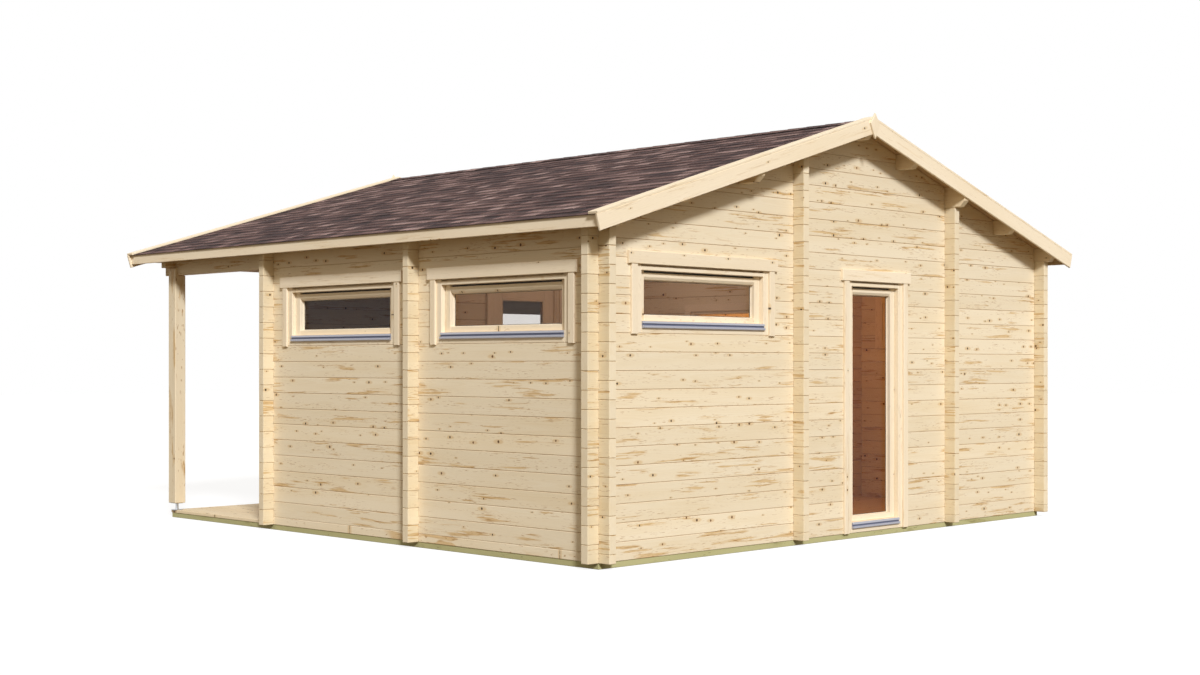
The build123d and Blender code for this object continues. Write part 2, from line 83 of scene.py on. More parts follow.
class Sheet:
    """The node tree of a material or of the world, built a node at a time."""

    def __init__(self, name: str, world: bool = False) -> None:
        """Start an empty tree.

        Args:
            name: Name of the material or of the world.
            world: Whether it is a world.
        """
        self.owner = (bpy.data.worlds if world else bpy.data.materials).new(name)
        self.owner.use_nodes = True
        self.output = "OutputWorld" if world else "OutputMaterial"
        self.tree = self.owner.node_tree
        self.tree.nodes.clear()

    def node(self, kind: str, inputs: dict | None = None, **settings) -> bpy.types.Node:
        """Add a node.

        Args:
            kind: The node's type, without its ShaderNode prefix.
            inputs: Values or sockets for its inputs, by name or number.
            **settings: Properties of the node itself.

        Returns:
            The new node.
        """
        made = self.tree.nodes.new("ShaderNode" + kind)
        for key, value in settings.items():
            setattr(made, key, value)
        for key, value in (inputs or {}).items():
            self.feed(made.inputs[key], value)
        return made

    def feed(self, socket: Socket, value) -> None:
        """Link a socket to another, or set its value."""
        if isinstance(value, Socket):
            self.tree.links.new(value, socket)
        elif isinstance(value, tuple) and len(value) == 3 and socket.type == "RGBA":
            socket.default_value = (*value, 1.0)
        else:
            socket.default_value = value

    def attribute(self, name: str) -> Socket:
        """Vector attribute of the mesh."""
        return self.node("Attribute", attribute_name=name).outputs["Vector"]

    def place(self) -> Socket:
        """Object coordinates."""
        return self.node("TexCoord").outputs["Object"]

    def scaled(self, vector: Socket, scale: Triple) -> Socket:
        """Coordinates stretched by a factor on each axis."""
        return self.node("VectorMath", {0: vector, 1: scale}, operation="MULTIPLY").outputs[0]

    def split(self, vector: Socket) -> tuple[Socket, Socket, Socket]:
        """The three parts of a vector."""
        parts = self.node("SeparateXYZ", {0: vector}).outputs
        return parts[0], parts[1], parts[2]

    def noise(self, vector: Socket, scale: float | Triple, detail: float = 2.0,
              roughness: float = 0.5) -> Socket:
        """Noise between 0 and 1, with one scale or one for each axis."""
        if isinstance(scale, tuple):
            vector, scale = self.scaled(vector, scale), 1.0
        inputs = {"Vector": vector, "Scale": scale, "Detail": detail, "Roughness": roughness}
        return self.node("TexNoise", inputs).outputs["Fac"]

    def math(self, operation: str, a, b=0.0, c=0.0) -> Socket:
        """Arithmetic on up to three numbers."""
        return self.node("Math", {0: a, 1: b, 2: c}, operation=operation).outputs[0]

    def times(self, a, b) -> Socket:
        """Product of two numbers."""
        return self.math("MULTIPLY", a, b)

    def madd(self, a, b, c) -> Socket:
        """Product of two numbers, plus a third."""
        return self.math("MULTIPLY_ADD", a, b, c)

    def band(self, value: Socket, low, high, to_low: float = 0.0, to_high: float = 1.0) -> Socket:
        """Smooth step of a value between two limits."""
        inputs = {"Value": value, "From Min": low, "From Max": high, "To Min": to_low, "To Max": to_high}
        return self.node("MapRange", inputs, interpolation_type="SMOOTHSTEP").outputs["Result"]

    def mix(self, factor, a, b, blend: str = "MIX") -> Socket:
        """Mix of two colours."""
        made = self.node("Mix", data_type="RGBA", blend_type=blend)
        self.feed(made.inputs[0], factor)
        self.feed(made.inputs[6], a)
        self.feed(made.inputs[7], b)
        return made.outputs[2]

    def brighten(self, colour: Socket | Colour, factor: Socket) -> Socket:
        """Colour times a number."""
        return self.node("VectorMath", {0: colour, "Scale": factor}, operation="SCALE").outputs[0]

    def paint(self, colour: Socket, over: Socket | Colour, mask: Socket, amount: float) -> Socket:
        """Colour with another laid over it, as far as a mask and an amount say."""
        return self.mix(self.times(mask, amount), colour, over)

    def seen(self) -> Socket:
        """1 for what the camera sees, straight, through glass or mirrored, and 0 for other light."""
        path = self.node("LightPath").outputs
        straight = self.math("MAXIMUM", path["Is Camera Ray"], path["Is Transmission Ray"])
        return self.math("MAXIMUM", straight, path["Is Glossy Ray"])

    def surface(self, colour, roughness, height: Socket, depth: float, **constants: float) -> Material:
        """Finish the material with one Principled shader.

        Args:
            colour: Base colour, a socket or a value.
            roughness: Roughness, a socket or a value.
            height: Height for the bump.
            depth: Depth of the bump in metres.
            **constants: Other inputs of the shader, underscores for spaces.

        Returns:
            The finished material.
        """
        shader = self.node("BsdfPrincipled", {"Base Color": colour, "Roughness": roughness})
        for key, value in constants.items():
            self.feed(shader.inputs[key.replace("_", " ")], value)
        bump = self.node("Bump", {"Height": height, "Distance": depth, "Strength": 1.0})
        self.feed(shader.inputs["Normal"], bump.outputs["Normal"])
        return self.close(shader)

    def blend(self, share: Socket, first: bpy.types.Node, second: bpy.types.Node) -> bpy.types.ID:
        """Finish with two shaders, the second where the share is 1."""
        return self.close(self.node("MixShader", {0: share, 1: first.outputs[0], 2: second.outputs[0]}))

    def close(self, shader: bpy.types.Node) -> bpy.types.ID:
        """Link a shader to the output and give the material or world."""
        self.node(self.output, {"Surface": shader.outputs[0]})
        return self.owner


class Scale:
    """Scales of the patterns in wood, in cycles a metre along, across and through a board."""

    SOFT = (0.8, 9.0, 9.0)
    FIBRE = (24.0, 620.0, 620.0)
    PATCH = (1.7, 17.0, 3.0)
    SWELL = (3.4, 70.0, 20.0)
    STREAK = (5.5, 150.0, 40.0)
    DASH = (16.0, 230.0, 60.0)
    SAW = (60.0, 40.0, 380.0)
    SAWN_PATCH = (4.0, 14.0, 14.0)
    WOBBLE = (0.9, 5.0, 5.0)
    KNOT_EDGE = (120.0, 120.0, 60.0)


@dataclass(frozen=True)
class Timber:
    """Planed softwood whose grain follows each board.

    The mesh holds a grain attribute, metres along, across and through the board from its middle,
    and a tone attribute, three random numbers for each board.
    """

    name: str
    pale: Colour
    warm: Colour
    streak: Colour
    # Colour of the streaks at the figure's hearts, and also of the painted shade in the grooves between logs.
    heart: Colour = (0.330, 0.165, 0.050)
    knot_share: float = 0.34
    knot_size: float = 0.0075
    streak_amount: float = 0.85
    tone_range: float = 0.13
    ring_width: float = 0.0055
    roughness: float = 0.62
    # Distance from a log's middle where the painted shade of the groove between logs starts, and its width; 0
    # for none.
    joint: float = 0.0
    joint_line: float = 0.0012
    crossing: Triple = (2.951, -1.300, 2.9335)
    crossing_tint: Colour = (0.92, 0.905, 0.85)
    dead_knot: Colour = (0.022, 0.010, 0.005)
    live_knot: Colour = (0.21, 0.095, 0.032)
    knot_cells: float = 7.5
    shift: Triple = (97.0, 61.0, 43.0)

    def start(self, name: str) -> tuple[Sheet, Socket, Sequence[Socket], Sequence[Socket], Socket]:
        """Start a material with what all faces of a board share.

        Args:
            name: The material's name.

        Returns:
            The sheet, grain coordinates moved for each board, the three unmoved ones, the board's three
            random numbers, and its year rings.
        """
        s = Sheet(name)
        grain, tone = s.attribute("grain"), s.attribute("tone")
        moved = s.node("VectorMath", {0: tone, 1: self.shift, 2: grain}, operation="MULTIPLY_ADD").outputs[0]
        places, chances = s.split(grain), s.split(tone)
        return s, moved, places, chances, self.rings(s, moved, places, chances)

    def toned(self, s: Sheet, colour: Socket, chance: Socket, fine: Socket) -> Socket:
        """Colour with the board's own tone and that of a fine pattern."""
        value = s.madd(chance, self.tone_range, 1.0 - self.tone_range / 2)
        return s.brighten(colour, s.times(value, s.madd(fine, 0.12, 0.94)))

    def board(self) -> Material:
        """Material for the long faces."""
        s, moved, places, (first, second, third), rings = self.start(self.name)
        soft = s.band(s.noise(moved, Scale.SOFT, 3.0), 0.35, 0.75)
        warmth = s.madd(soft, 0.36, s.madd(rings, 0.20, s.madd(second, 0.26, 0.10)))
        colour = s.mix(s.math("MINIMUM", warmth, 1.0), self.pale, self.warm)
        flame, heart, dash = self.figure(s, moved, third)
        layers = ((self.streak, flame, 0.70), (self.heart, heart, 0.80), (self.heart, dash, 0.85))
        for over, mask, share in layers:
            colour = s.paint(colour, over, mask, self.streak_amount * share)
        knot, halo, age = self.knots(s, moved)
        colour = s.paint(colour, self.streak, halo, 0.42)
        knot_colour = s.mix(s.math("POWER", age, 2.0), self.dead_knot, self.live_knot)
        colour = s.paint(colour, knot_colour, knot, 0.95)
        fibre = s.noise(moved, Scale.FIBRE)
        colour = self.toned(s, colour, first, fibre)
        if self.joint:
            colour = self.walled(s, colour, places[1])
        height = s.madd(fibre, 0.5, s.times(rings, 0.3))
        height = s.math("SUBTRACT", height, s.times(knot, 0.6))
        rough = s.madd(fibre, 0.2, self.roughness - 0.1)
        return s.surface(colour, rough, height, 0.0004, Specular_IOR_Level=0.3)

    def walled(self, s: Sheet, colour: Socket, across: Socket) -> Socket:
        """Log colour with painted shade along the groove where logs meet, and warmer where logs run out past
        a wall.

        Args:
            s: The sheet that is being built.
            colour: The colour so far.
            across: Distance across the log from its middle.

        Returns:
            The new colour.
        """
        # Painted shade: a dark brown strip along both long edges of each log, where the groove between logs
        # lies in shade.
        joint_shade = s.band(s.math("ABSOLUTE", across), self.joint, self.joint + self.joint_line)
        colour = s.paint(colour, self.heart, joint_shade, 0.85)
        x, y, _ = s.split(s.place())
        side, porch, back = self.crossing
        past_side = s.math("GREATER_THAN", s.math("ABSOLUTE", x), side)
        past_side = s.times(past_side, s.math("GREATER_THAN", y, porch))
        stub = s.math("MAXIMUM", past_side, s.math("GREATER_THAN", y, back))
        return s.mix(stub, colour, self.crossing_tint, "MULTIPLY")

    def figure(self, s: Sheet, moved: Socket, chance: Socket) -> tuple[Socket, Socket, Socket]:
        """Brown figure that lies in patches along the board.

        Args:
            s: The sheet that is being built.
            moved: Grain coordinates, moved for each board.
            chance: Random number of the board.

        Returns:
            Masks of soft flames, of the streaks at their hearts and of short dashes.
        """
        patch = s.noise(moved, Scale.PATCH, 1.0)
        rich = s.madd(chance, -0.14, 0.638)
        place = s.band(patch, rich, s.math("ADD", rich, 0.09))
        flame = s.band(s.noise(moved, Scale.SWELL, 1.5, 0.45), 0.50, 0.57)
        streak = s.band(s.noise(moved, Scale.STREAK, 1.0), 0.55, 0.66)
        dash = s.band(s.noise(moved, Scale.DASH, 1.0), 0.645, 0.70)
        dash = s.times(dash, s.band(patch, 0.42, 0.58))
        return s.times(flame, place), s.times(s.times(streak, flame), place), dash

    def end(self) -> Material:
        """Material for the sawn ends."""
        s, moved, _, (first, second, _), rings = self.start(self.name + "End")
        saw = s.noise(moved, Scale.SAW)
        patch = s.band(s.noise(moved, Scale.SAWN_PATCH), 0.4, 0.7)
        warmth = s.madd(patch, 0.25, s.madd(rings, 0.45, s.madd(second, 0.25, 0.1)))
        colour = s.mix(s.math("MINIMUM", warmth, 1.0), self.pale, self.warm)
        colour = self.toned(s, colour, first, saw)
        height = s.madd(saw, 0.6, s.times(rings, 0.4))
        return s.surface(colour, s.madd(saw, 0.15, 0.7), height, 0.0005, Specular_IOR_Level=0.2)

    def rings(self, s: Sheet, moved: Socket, places: Sequence[Socket], chances: Sequence[Socket]) -> Socket:
        """Year rings about a pith near the board's middle, 1 at the late wood."""
        along, across, through = places
        y = s.madd(s.math("SUBTRACT", chances[0], 0.5), 0.09, across)
        z = s.math("ADD", s.madd(chances[1], 0.07, 0.012), through)
        reach = s.math("SQRT", s.madd(y, y, s.times(z, z)))
        reach = s.madd(along, 0.0035, s.madd(s.noise(moved, Scale.WOBBLE), 0.035, reach))
        share = s.math("FRACT", s.math("DIVIDE", reach, self.ring_width))
        return s.times(s.band(share, 0.35, 0.86), s.band(share, 1.0, 0.9))

    def knots(self, s: Sheet, moved: Socket) -> tuple[Socket, Socket, Socket]:
        """Knots with the darker wood that bends round them.

        Args:
            s: The sheet that is being built.
            moved: Grain coordinates, moved for each board.

        Returns:
            Masks of the knots and their halos, and a random age for each.
        """
        cells = self.knot_cells
        flat = s.scaled(moved, (cells, cells, 0.0))
        inputs = {"Vector": flat, "Scale": 1.0, "Randomness": 1.0}
        cell = s.node("TexVoronoi", inputs, voronoi_dimensions="2D").outputs
        size, chance, age = s.split(cell["Color"])
        apart = s.node("VectorMath", {0: flat, 1: cell["Position"]}, operation="SUBTRACT").outputs[0]
        dx, dy, _ = s.split(apart)
        distance = s.math("SUBTRACT", s.math("DIVIDE", cell["Distance"], cells), 0.002)
        distance = s.madd(s.noise(moved, Scale.KNOT_EDGE, 1.0), 0.004, distance)
        radius = s.madd(s.math("POWER", size, 1.6), self.knot_size, 0.0046)
        knot = s.band(distance, radius, s.times(radius, 0.8))
        squeezed = s.times(dx, 0.32)
        oval = s.math("SQRT", s.madd(dy, dy, s.times(squeezed, squeezed)))
        halo = s.band(s.math("DIVIDE", oval, cells), s.times(radius, 1.9), radius)
        present = s.math("LESS_THAN", chance, self.knot_share)
        return s.times(knot, present), s.times(halo, present), age


@dataclass(frozen=True)
class Bitumen:
    """Bitumen shingle strewn with mineral granules, a little different on each tab, with painted shade under
    the butt of each course.
    """

    name: str = "BitumenShingle"
    dark: Colour = (0.028, 0.015, 0.016)
    middle: Colour = (0.135, 0.076, 0.068)
    light: Colour = (0.40, 0.285, 0.265)
    eave: float = 3.164
    course: float = 0.13866
    granules: float = 620.0
    flecks: float = 380.0
    blotches: Triple = (8.0, 1.5, 2.0)
    # Brightness outside, and drop inside, the painted shade under each course's butt.
    open_light: float = 1.20
    covered_drop: float = 0.76

    def build(self) -> Material:
        """Material for the tabs."""
        s = Sheet(self.name)
        place = s.place()
        first, second, _ = s.split(s.attribute("tone"))
        grit = s.noise(place, self.granules, 2.0, 0.7)
        fleck = s.node("TexVoronoi", {"Vector": place, "Scale": self.flecks, "Randomness": 1.0})
        fleck_tone = s.split(fleck.outputs["Color"])[0]
        blotch = s.noise(place, self.blotches, 3.0)
        level = s.madd(s.math("POWER", first, 1.8), 0.62, 0.04)
        level = s.madd(s.math("SUBTRACT", blotch, 0.5), 1.1, level)
        level = s.madd(s.math("SUBTRACT", fleck_tone, 0.5), 0.5, level)
        low = s.mix(s.band(level, -0.1, 0.42), self.dark, self.middle)
        colour = s.mix(s.band(level, 0.38, 1.0), low, self.light)
        colour = s.brighten(colour, s.madd(grit, 0.5, 0.75))
        # Painted shade: the top of each course's exposed face, just under the butt of the course above, is
        # darkened, partly as a printed shadow band and partly as the butts' shadow; the rest is brightened.
        down = s.math("SUBTRACT", self.eave, s.math("ABSOLUTE", s.split(place)[0]))
        share = s.math("FRACT", s.math("DIVIDE", down, self.course))
        band = s.band(s.madd(second, 0.10, share), 0.60, 0.72)
        colour = s.brighten(colour, s.madd(band, -self.covered_drop, self.open_light))
        height = s.math("ADD", grit, s.times(fleck_tone, 0.7))
        return s.surface(colour, s.madd(grit, 0.12, 0.84), height, 0.0009, Specular_IOR_Level=0.25)


@dataclass(frozen=True)
class Metal:
    """Rolled or drawn metal with fine lines and slight stains."""

    name: str
    colour: Colour
    metallic: float
    roughness: float
    lines: Triple
    stains: float = 18.0
    stained: float = 0.93

    def build(self) -> Material:
        """Material for the metal."""
        s = Sheet(self.name)
        drawn = s.noise(s.place(), self.lines)
        stain = s.noise(s.place(), self.stains, 4.0, 0.6)
        shade = s.madd(drawn, 0.10, s.madd(stain, 0.16, 0.87))
        dull = tuple(part * self.stained for part in self.colour)
        rough = s.madd(stain, 0.18, self.roughness - 0.09)
        colour = s.brighten(s.mix(stain, self.colour, dull), shade)
        return s.surface(colour, rough, drawn, 0.00005, Metallic=self.metallic)


@dataclass(frozen=True)
class Pane:
    """Clear glass that lets light into the rooms."""

    name: str = "WindowGlass"
    tint: Colour = (0.985, 0.978, 0.970)
    mirror: Colour = (0.23, 0.24, 0.28)
    polish: float = 0.03
    films: float = 3.0
    face_on: float = 0.045

    def build(self) -> Material:
        """Material for the panes, which mirror more the more slantwise they are seen."""
        s = Sheet(self.name)
        film = s.madd(s.noise(s.place(), self.films), 0.02, 0.985)
        clear = s.node("BsdfTransparent", {"Color": s.brighten(self.tint, film)})
        gloss = s.node("BsdfGlossy", {"Color": self.mirror, "Roughness": self.polish})
        slant = s.node("LayerWeight", {"Blend": 0.5}).outputs["Facing"]
        return s.blend(s.madd(s.math("POWER", slant, 5.0), 0.95, self.face_on), clear, gloss)


@dataclass(frozen=True)
class Rubber:
    """Dark sealing strip with a matt bloom."""

    name: str = "SealingStrip"
    colour: Colour = (0.035, 0.032, 0.030)
    blooms: float = 70.0
    bloomed: float = 2.2

    def build(self) -> Material:
        """Material for the strips."""
        s = Sheet(self.name)
        bloom = s.noise(s.place(), self.blooms, 3.0)
        colour = s.mix(bloom, self.colour, tuple(part * self.bloomed for part in self.colour))
        return s.surface(colour, s.madd(bloom, 0.2, 0.6), bloom, 0.0001)


@dataclass(frozen=True)
class Finishes:
    """Every finish of the cabin."""

    logs: Timber = Timber("SpruceLog", (0.875, 0.764, 0.577), (0.790, 0.642, 0.420), (0.610, 0.365, 0.110),
                          (0.370, 0.175, 0.040), tone_range=0.08, joint=0.0656)
    trim: Timber = Timber("SpruceTrim", (0.920, 0.795, 0.610), (0.845, 0.700, 0.490), (0.690, 0.470, 0.200),
                          knot_share=0.10, knot_size=0.006, streak_amount=0.28, tone_range=0.05)
    boards: Timber = Timber("SpruceBoard", (0.860, 0.715, 0.495), (0.745, 0.580, 0.355),
                            (0.570, 0.380, 0.160), knot_share=0.4, knot_size=0.009, streak_amount=0.45,
                            tone_range=0.12)
    impregnated: Timber = Timber("ImpregnatedPine", (0.560, 0.530, 0.280), (0.430, 0.400, 0.180),
                                 (0.300, 0.250, 0.090), (0.120, 0.090, 0.030), knot_share=0.3,
                                 knot_size=0.012, streak_amount=0.6, tone_range=0.1, roughness=0.75)
    # Painted shade: a darker, browner copy of the board finish, for the roof boards that lie in the eaves'
    # shade.
    soffit: Timber = Timber("SpruceSoffitShaded", (0.640, 0.440, 0.230), (0.540, 0.350, 0.165),
                            (0.400, 0.220, 0.080), knot_share=0.4, knot_size=0.009, streak_amount=0.45,
                            tone_range=0.10)
    shingle: Bitumen = Bitumen()
    sill: Metal = Metal("SillAluminium", (0.450, 0.460, 0.530), 0.45, 0.38, (12.0, 900.0, 900.0))
    # Painted shade: a dark copy of the sill metal, laid in the sill's recess.
    channel: Metal = Metal("SillRecessShade", (0.150, 0.165, 0.250), 0.2, 0.5, (12.0, 900.0, 900.0))
    steel: Metal = Metal("ZincSteel", (0.560, 0.570, 0.585), 0.95, 0.38, (40.0, 40.0, 700.0))
    pane: Pane = Pane()
    rubber: Rubber = Rubber()

    def pair(self, timber: Timber) -> list[Material]:
        """Long-grain and end-grain materials of one timber, made once."""
        made = [bpy.data.materials.get(timber.name), bpy.data.materials.get(timber.name + "End")]
        return [made[0] or timber.board(), made[1] or timber.end()]

    def single(self, finish: Bitumen | Metal | Pane | Rubber) -> Material:
        """The material of a finish that needs one only, made once."""
        return bpy.data.materials.get(finish.name) or finish.build()


FINISHES = Finishes()


# Mesh building


@dataclass(frozen=True)
class Part:
    """What a finished piece stands for and rides on."""

    name: str
    slot: Slot
    nodes: tuple[str, ...]
    body: str = "cabin"


def placed(name: str, data: bpy.types.ID) -> bpy.types.Object:
    """Put some data into the scene as a new object."""
    made = bpy.data.objects.new(name, data)
    bpy.context.scene.collection.objects.link(made)
    return made


def finished(mesh: Mesh, part: Part, materials: Sequence[Material],
             smooth: float | None = None) -> None:
    """Turn a bmesh into a piece of the cabin.

    Args:
        mesh: The geometry, which is freed.
        part: Its name, body and the nodes that it replaces; its slot is not used.
        materials: Its materials, in order.
        smooth: Angle in degrees under which faces shade smoothly, or None for flat faces.
    """
    data = bpy.data.meshes.new(part.name)
    mesh.to_mesh(data)
    mesh.free()
    for material in materials:
        data.materials.append(material)
    if smooth is not None:
        data.shade_smooth()
        data.set_sharp_from_angle(angle=math.radians(smooth))
    piece = placed(part.name, data)
    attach(piece, part.body)
    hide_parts(*part.nodes)
    triangles = sum(len(polygon.vertices) - 2 for polygon in data.polygons)
    log.info("%s: %d triangles, for %s", part.name, triangles, ", ".join(part.nodes))


def islands(mesh: Mesh) -> Iterable[list[Vert]]:
    """The connected groups of vertices of a bmesh.

    Args:
        mesh: The geometry to walk.

    Yields:
        The vertices of each connected solid.
    """
    seen: set[Vert] = set()
    for start in mesh.verts:
        if start in seen:
            continue
        seen.add(start)
        group = [start]
        for vert in group:
            for edge in vert.link_edges:
                other = edge.other_vert(vert)
                if other not in seen:
                    seen.add(other)
                    group.append(other)
        yield group


def extent(group: Sequence[Vert], axis: Vector) -> tuple[float, float]:
    """First and last place of some vertices along a direction."""
    reach = [vert.co.dot(axis) for vert in group]
    return min(reach), max(reach)


def box(mesh: Mesh, low: Triple, high: Triple, turn: Matrix = IDENTITY) -> list[Vert]:
    """Add a box between two corners and give its vertices."""
    middle, size = (Vector(low) + Vector(high)) / 2, Vector(high) - Vector(low)
    matrix = Matrix.Translation(middle) @ Matrix.Diagonal((*size, 1.0))
    return bmesh.ops.create_cube(mesh, size=1.0, matrix=turn @ matrix)["verts"]


def members(outer: Rect, inner: Rect, back: float, front: float,
            gap: float = JOINT_GAP) -> list[tuple[Triple, Triple]]:
    """Members of a frame between two rectangles, the stiles running through.

    Args:
        outer: Left, right, bottom and top outside.
        inner: Left, right, bottom and top inside.
        back: Lowest Y of the members.
        front: Highest Y of the members.
        gap: Play between a rail and a stile.

    Returns:
        Lowest and highest corner of the left and right stile and of the bottom and top rail.
    """
    (x1, x2, z1, z2), (i1, i2, j1, j2) = outer, inner
    return [((x1, back, z1), (i1, front, z2)), ((i2, back, z1), (x2, front, z2)),
            ((i1 + gap, back, z1), (i2 - gap, front, j1)), ((i1 + gap, back, j2), (i2 - gap, front, z2))]


def inside(outer: Rect, sides: float, bottom: float) -> Rect:
    """Rectangle a distance inside another, with a distance of its own at the bottom."""
    x1, x2, z1, z2 = outer
    return x1 + sides, x2 - sides, z1 + bottom, z2 - sides


class Joinery:
    """Boards gathered into one mesh, each with its own grain and tone."""

    WELD = 0.00005
    FLAT = math.radians(0.5)
    SHARP = math.radians(30)
    SHORTEST = 0.03
    END_GRAIN = 0.85
    THINNEST = 0.4

    def __init__(self, axis: Axis = Axis.WORLD) -> None:
        """Start with no boards.

        Args:
            axis: How each board's grain direction is found.
        """
        self.mesh = bmesh.new()
        self.axis = axis

    def board(self, low: Triple, high: Triple, edge: float, turn: Matrix = IDENTITY) -> None:
        """Add a board with eased edges.

        Args:
            low: Lowest corner in metres.
            high: Highest corner in metres.
            edge: Width of the eased edges.
            turn: Where the board goes.
        """
        verts = box(self.mesh, low, high, turn)
        if edge > 0:
            edges = list({link for vert in verts for link in vert.link_edges})
            size = Vector(high) - Vector(low)
            ease(self.mesh, edges, min(edge, min(abs(part) for part in size) * self.THINNEST))

    def boards(self, corners: Iterable[tuple[Triple, Triple]], edge: float, turn: Matrix = IDENTITY) -> None:
        """Add a board for each pair of corners."""
        for low, high in corners:
            self.board(low, high, edge, turn)

    def outline(self, points: Sequence[tuple[float, float]], start: float, end: float, turn: Matrix,
                edge: float = 0.0) -> None:
        """Add a moulding: an outline in Y and Z, drawn out along X.

        Args:
            points: The outline, in metres.
            start: First X.
            end: Last X.
            turn: Where the moulding goes.
            edge: Width of eased edges, if any.
        """
        before = set(self.mesh.faces)
        verts = [self.mesh.verts.new((start, y, z)) for y, z in points]
        face = self.mesh.faces.new(verts)
        drawn = bmesh.ops.extrude_face_region(self.mesh, geom=[face])
        moved = [item for item in drawn["geom"] if isinstance(item, Vert)]
        bmesh.ops.translate(self.mesh, verts=moved, vec=(end - start, 0.0, 0.0))
        made = [item for item in self.mesh.faces if item not in before]
        bmesh.ops.recalc_face_normals(self.mesh, faces=made)
        bmesh.ops.transform(self.mesh, matrix=turn, verts=verts + moved)
        if edge > 0:
            edges = list({link for item in made for link in item.edges})
            ease(self.mesh, edges, edge)

    def take(self, node: str, edge: float) -> None:
        """Add the solids of a node, with their sharp edges eased.

        Args:
            node: The node's name.
            edge: Width of the eased edges.
        """
        source = bmesh.new()
        source.from_mesh(frame["nodes"][node].data)
        bmesh.ops.remove_doubles(source, verts=source.verts, dist=self.WELD)
        bmesh.ops.dissolve_limit(source, angle_limit=self.FLAT, verts=source.verts, edges=source.edges)
        sharp = [link for link in source.edges
                 if len(link.link_faces) == 2 and link.is_convex and link.calc_length() > self.SHORTEST
                 and link.calc_face_angle() > self.SHARP]
        ease(source, sharp, edge)
        holder = bpy.data.meshes.new(node)
        source.to_mesh(holder)
        source.free()
        self.mesh.from_mesh(holder)
        bpy.data.meshes.remove(holder)

    def grain(self, seed: str) -> None:
        """Give every solid its grain coordinates, its tone and its end faces.

        Args:
            seed: Text that the random tones come from.
        """
        chance = random.Random(seed)
        grain = self.mesh.verts.layers.float_vector.new("grain")
        tone = self.mesh.verts.layers.float_vector.new("tone")
        self.mesh.verts.ensure_lookup_table()
        for group in islands(self.mesh):
            along, across, through = self.directions(group)
            middle = Vector()
            for axis in (along, across, through):
                middle += axis * sum(extent(group, axis)) / 2
            value = Vector((chance.random(), chance.random(), chance.random()))
            for vert in group:
                apart = vert.co - middle
                vert[grain] = (apart.dot(along), apart.dot(across), apart.dot(through))
                vert[tone] = value
                for face in vert.link_faces:
                    face.material_index = 1 if abs(face.normal.dot(along)) > self.END_GRAIN else 0

    def directions(self, group: Sequence[Vert]) -> tuple[Vector, Vector, Vector]:
        """Directions along, across and through a board.

        Args:
            group: The board's vertices.

        Returns:
            Three unit vectors.
        """
        links = [edge for vert in group for edge in vert.link_edges]
        longest = max(links, key=lambda edge: edge.calc_length())
        along = (longest.verts[1].co - longest.verts[0].co).normalized()
        world = [Vector((1, 0, 0)), Vector((0, 1, 0)), Vector((0, 0, 1))]
        if self.axis is Axis.WORLD:
            along = max(world, key=lambda axis: abs(axis.dot(along)))
        side = min(world, key=lambda axis: abs(axis.dot(along)))
        other = along.cross(side).normalized()
        side = other.cross(along).normalized()
        spans = []
        for axis in (side, other):
            low, high = extent(group, axis)
            spans.append((high - low, axis))
        spans.sort(key=lambda span: span[0])
        return along, spans[1][1], spans[0][1]

    def piece(self, part: Part, timber: Timber) -> None:
        """Finish the boards as one piece of the cabin."""
        self.mesh.normal_update()
        self.grain(part.name)
        finished(self.mesh, part, FINISHES.pair(timber))


def ease(mesh: Mesh, edges: list[bmesh.types.BMEdge], width: float) -> None:
    """Bevel edges by a width in metres."""
    bmesh.ops.bevel(mesh, geom=edges, offset=width, offset_type="OFFSET", segments=1, profile=0.5,
                    affect="EDGES", clamp_overlap=False, material=-1)


def lathe(mesh: Mesh, profile: Sequence[tuple[float, float]], turn: Matrix,
          steps: int = 24) -> None:
    """Add a turned solid: a profile of radius and height spun about Z.

    Args:
        mesh: The mesh to add to.
        profile: Radius and height pairs, the first and last on the axis.
        turn: Where the solid goes.
        steps: Facets round the axis.
    """
    verts = [mesh.verts.new((radius, 0.0, height)) for radius, height in profile]
    edges = [mesh.edges.new((a, b)) for a, b in zip(verts, verts[1:])]
    before = set(mesh.verts) - set(verts)
    bmesh.ops.spin(mesh, geom=verts + edges, cent=(0, 0, 0), axis=(0, 0, 1), angle=2 * math.pi, steps=steps,
                   use_merge=True)
    made = [vert for vert in mesh.verts if vert not in before]
    bmesh.ops.remove_doubles(mesh, verts=made, dist=0.00001)
    made = [vert for vert in mesh.verts if vert not in before]
    faces = list({face for vert in made for face in vert.link_faces})
    bmesh.ops.recalc_face_normals(mesh, faces=faces)
    bmesh.ops.transform(mesh, matrix=turn, verts=made)


# Sub-assemblies


@dataclass(frozen=True)
class Planed:
    """Nodes whose solids only need eased edges and a finish, with one piece for each."""

    nodes: tuple[str, ...]
    timber: Timber
    title: str = "{}_planed"
    slot: Slot = Slot.SPRUCE
    edge: float = 0.003
    axis: Axis = Axis.WORLD

    def build(self) -> None:
        """Build and dress each node's piece."""
        for node in self.nodes:
            joinery = Joinery(self.axis)
            joinery.take(node, self.edge)
            joinery.piece(Part(self.title.format(node), self.slot, (node,)), self.timber)


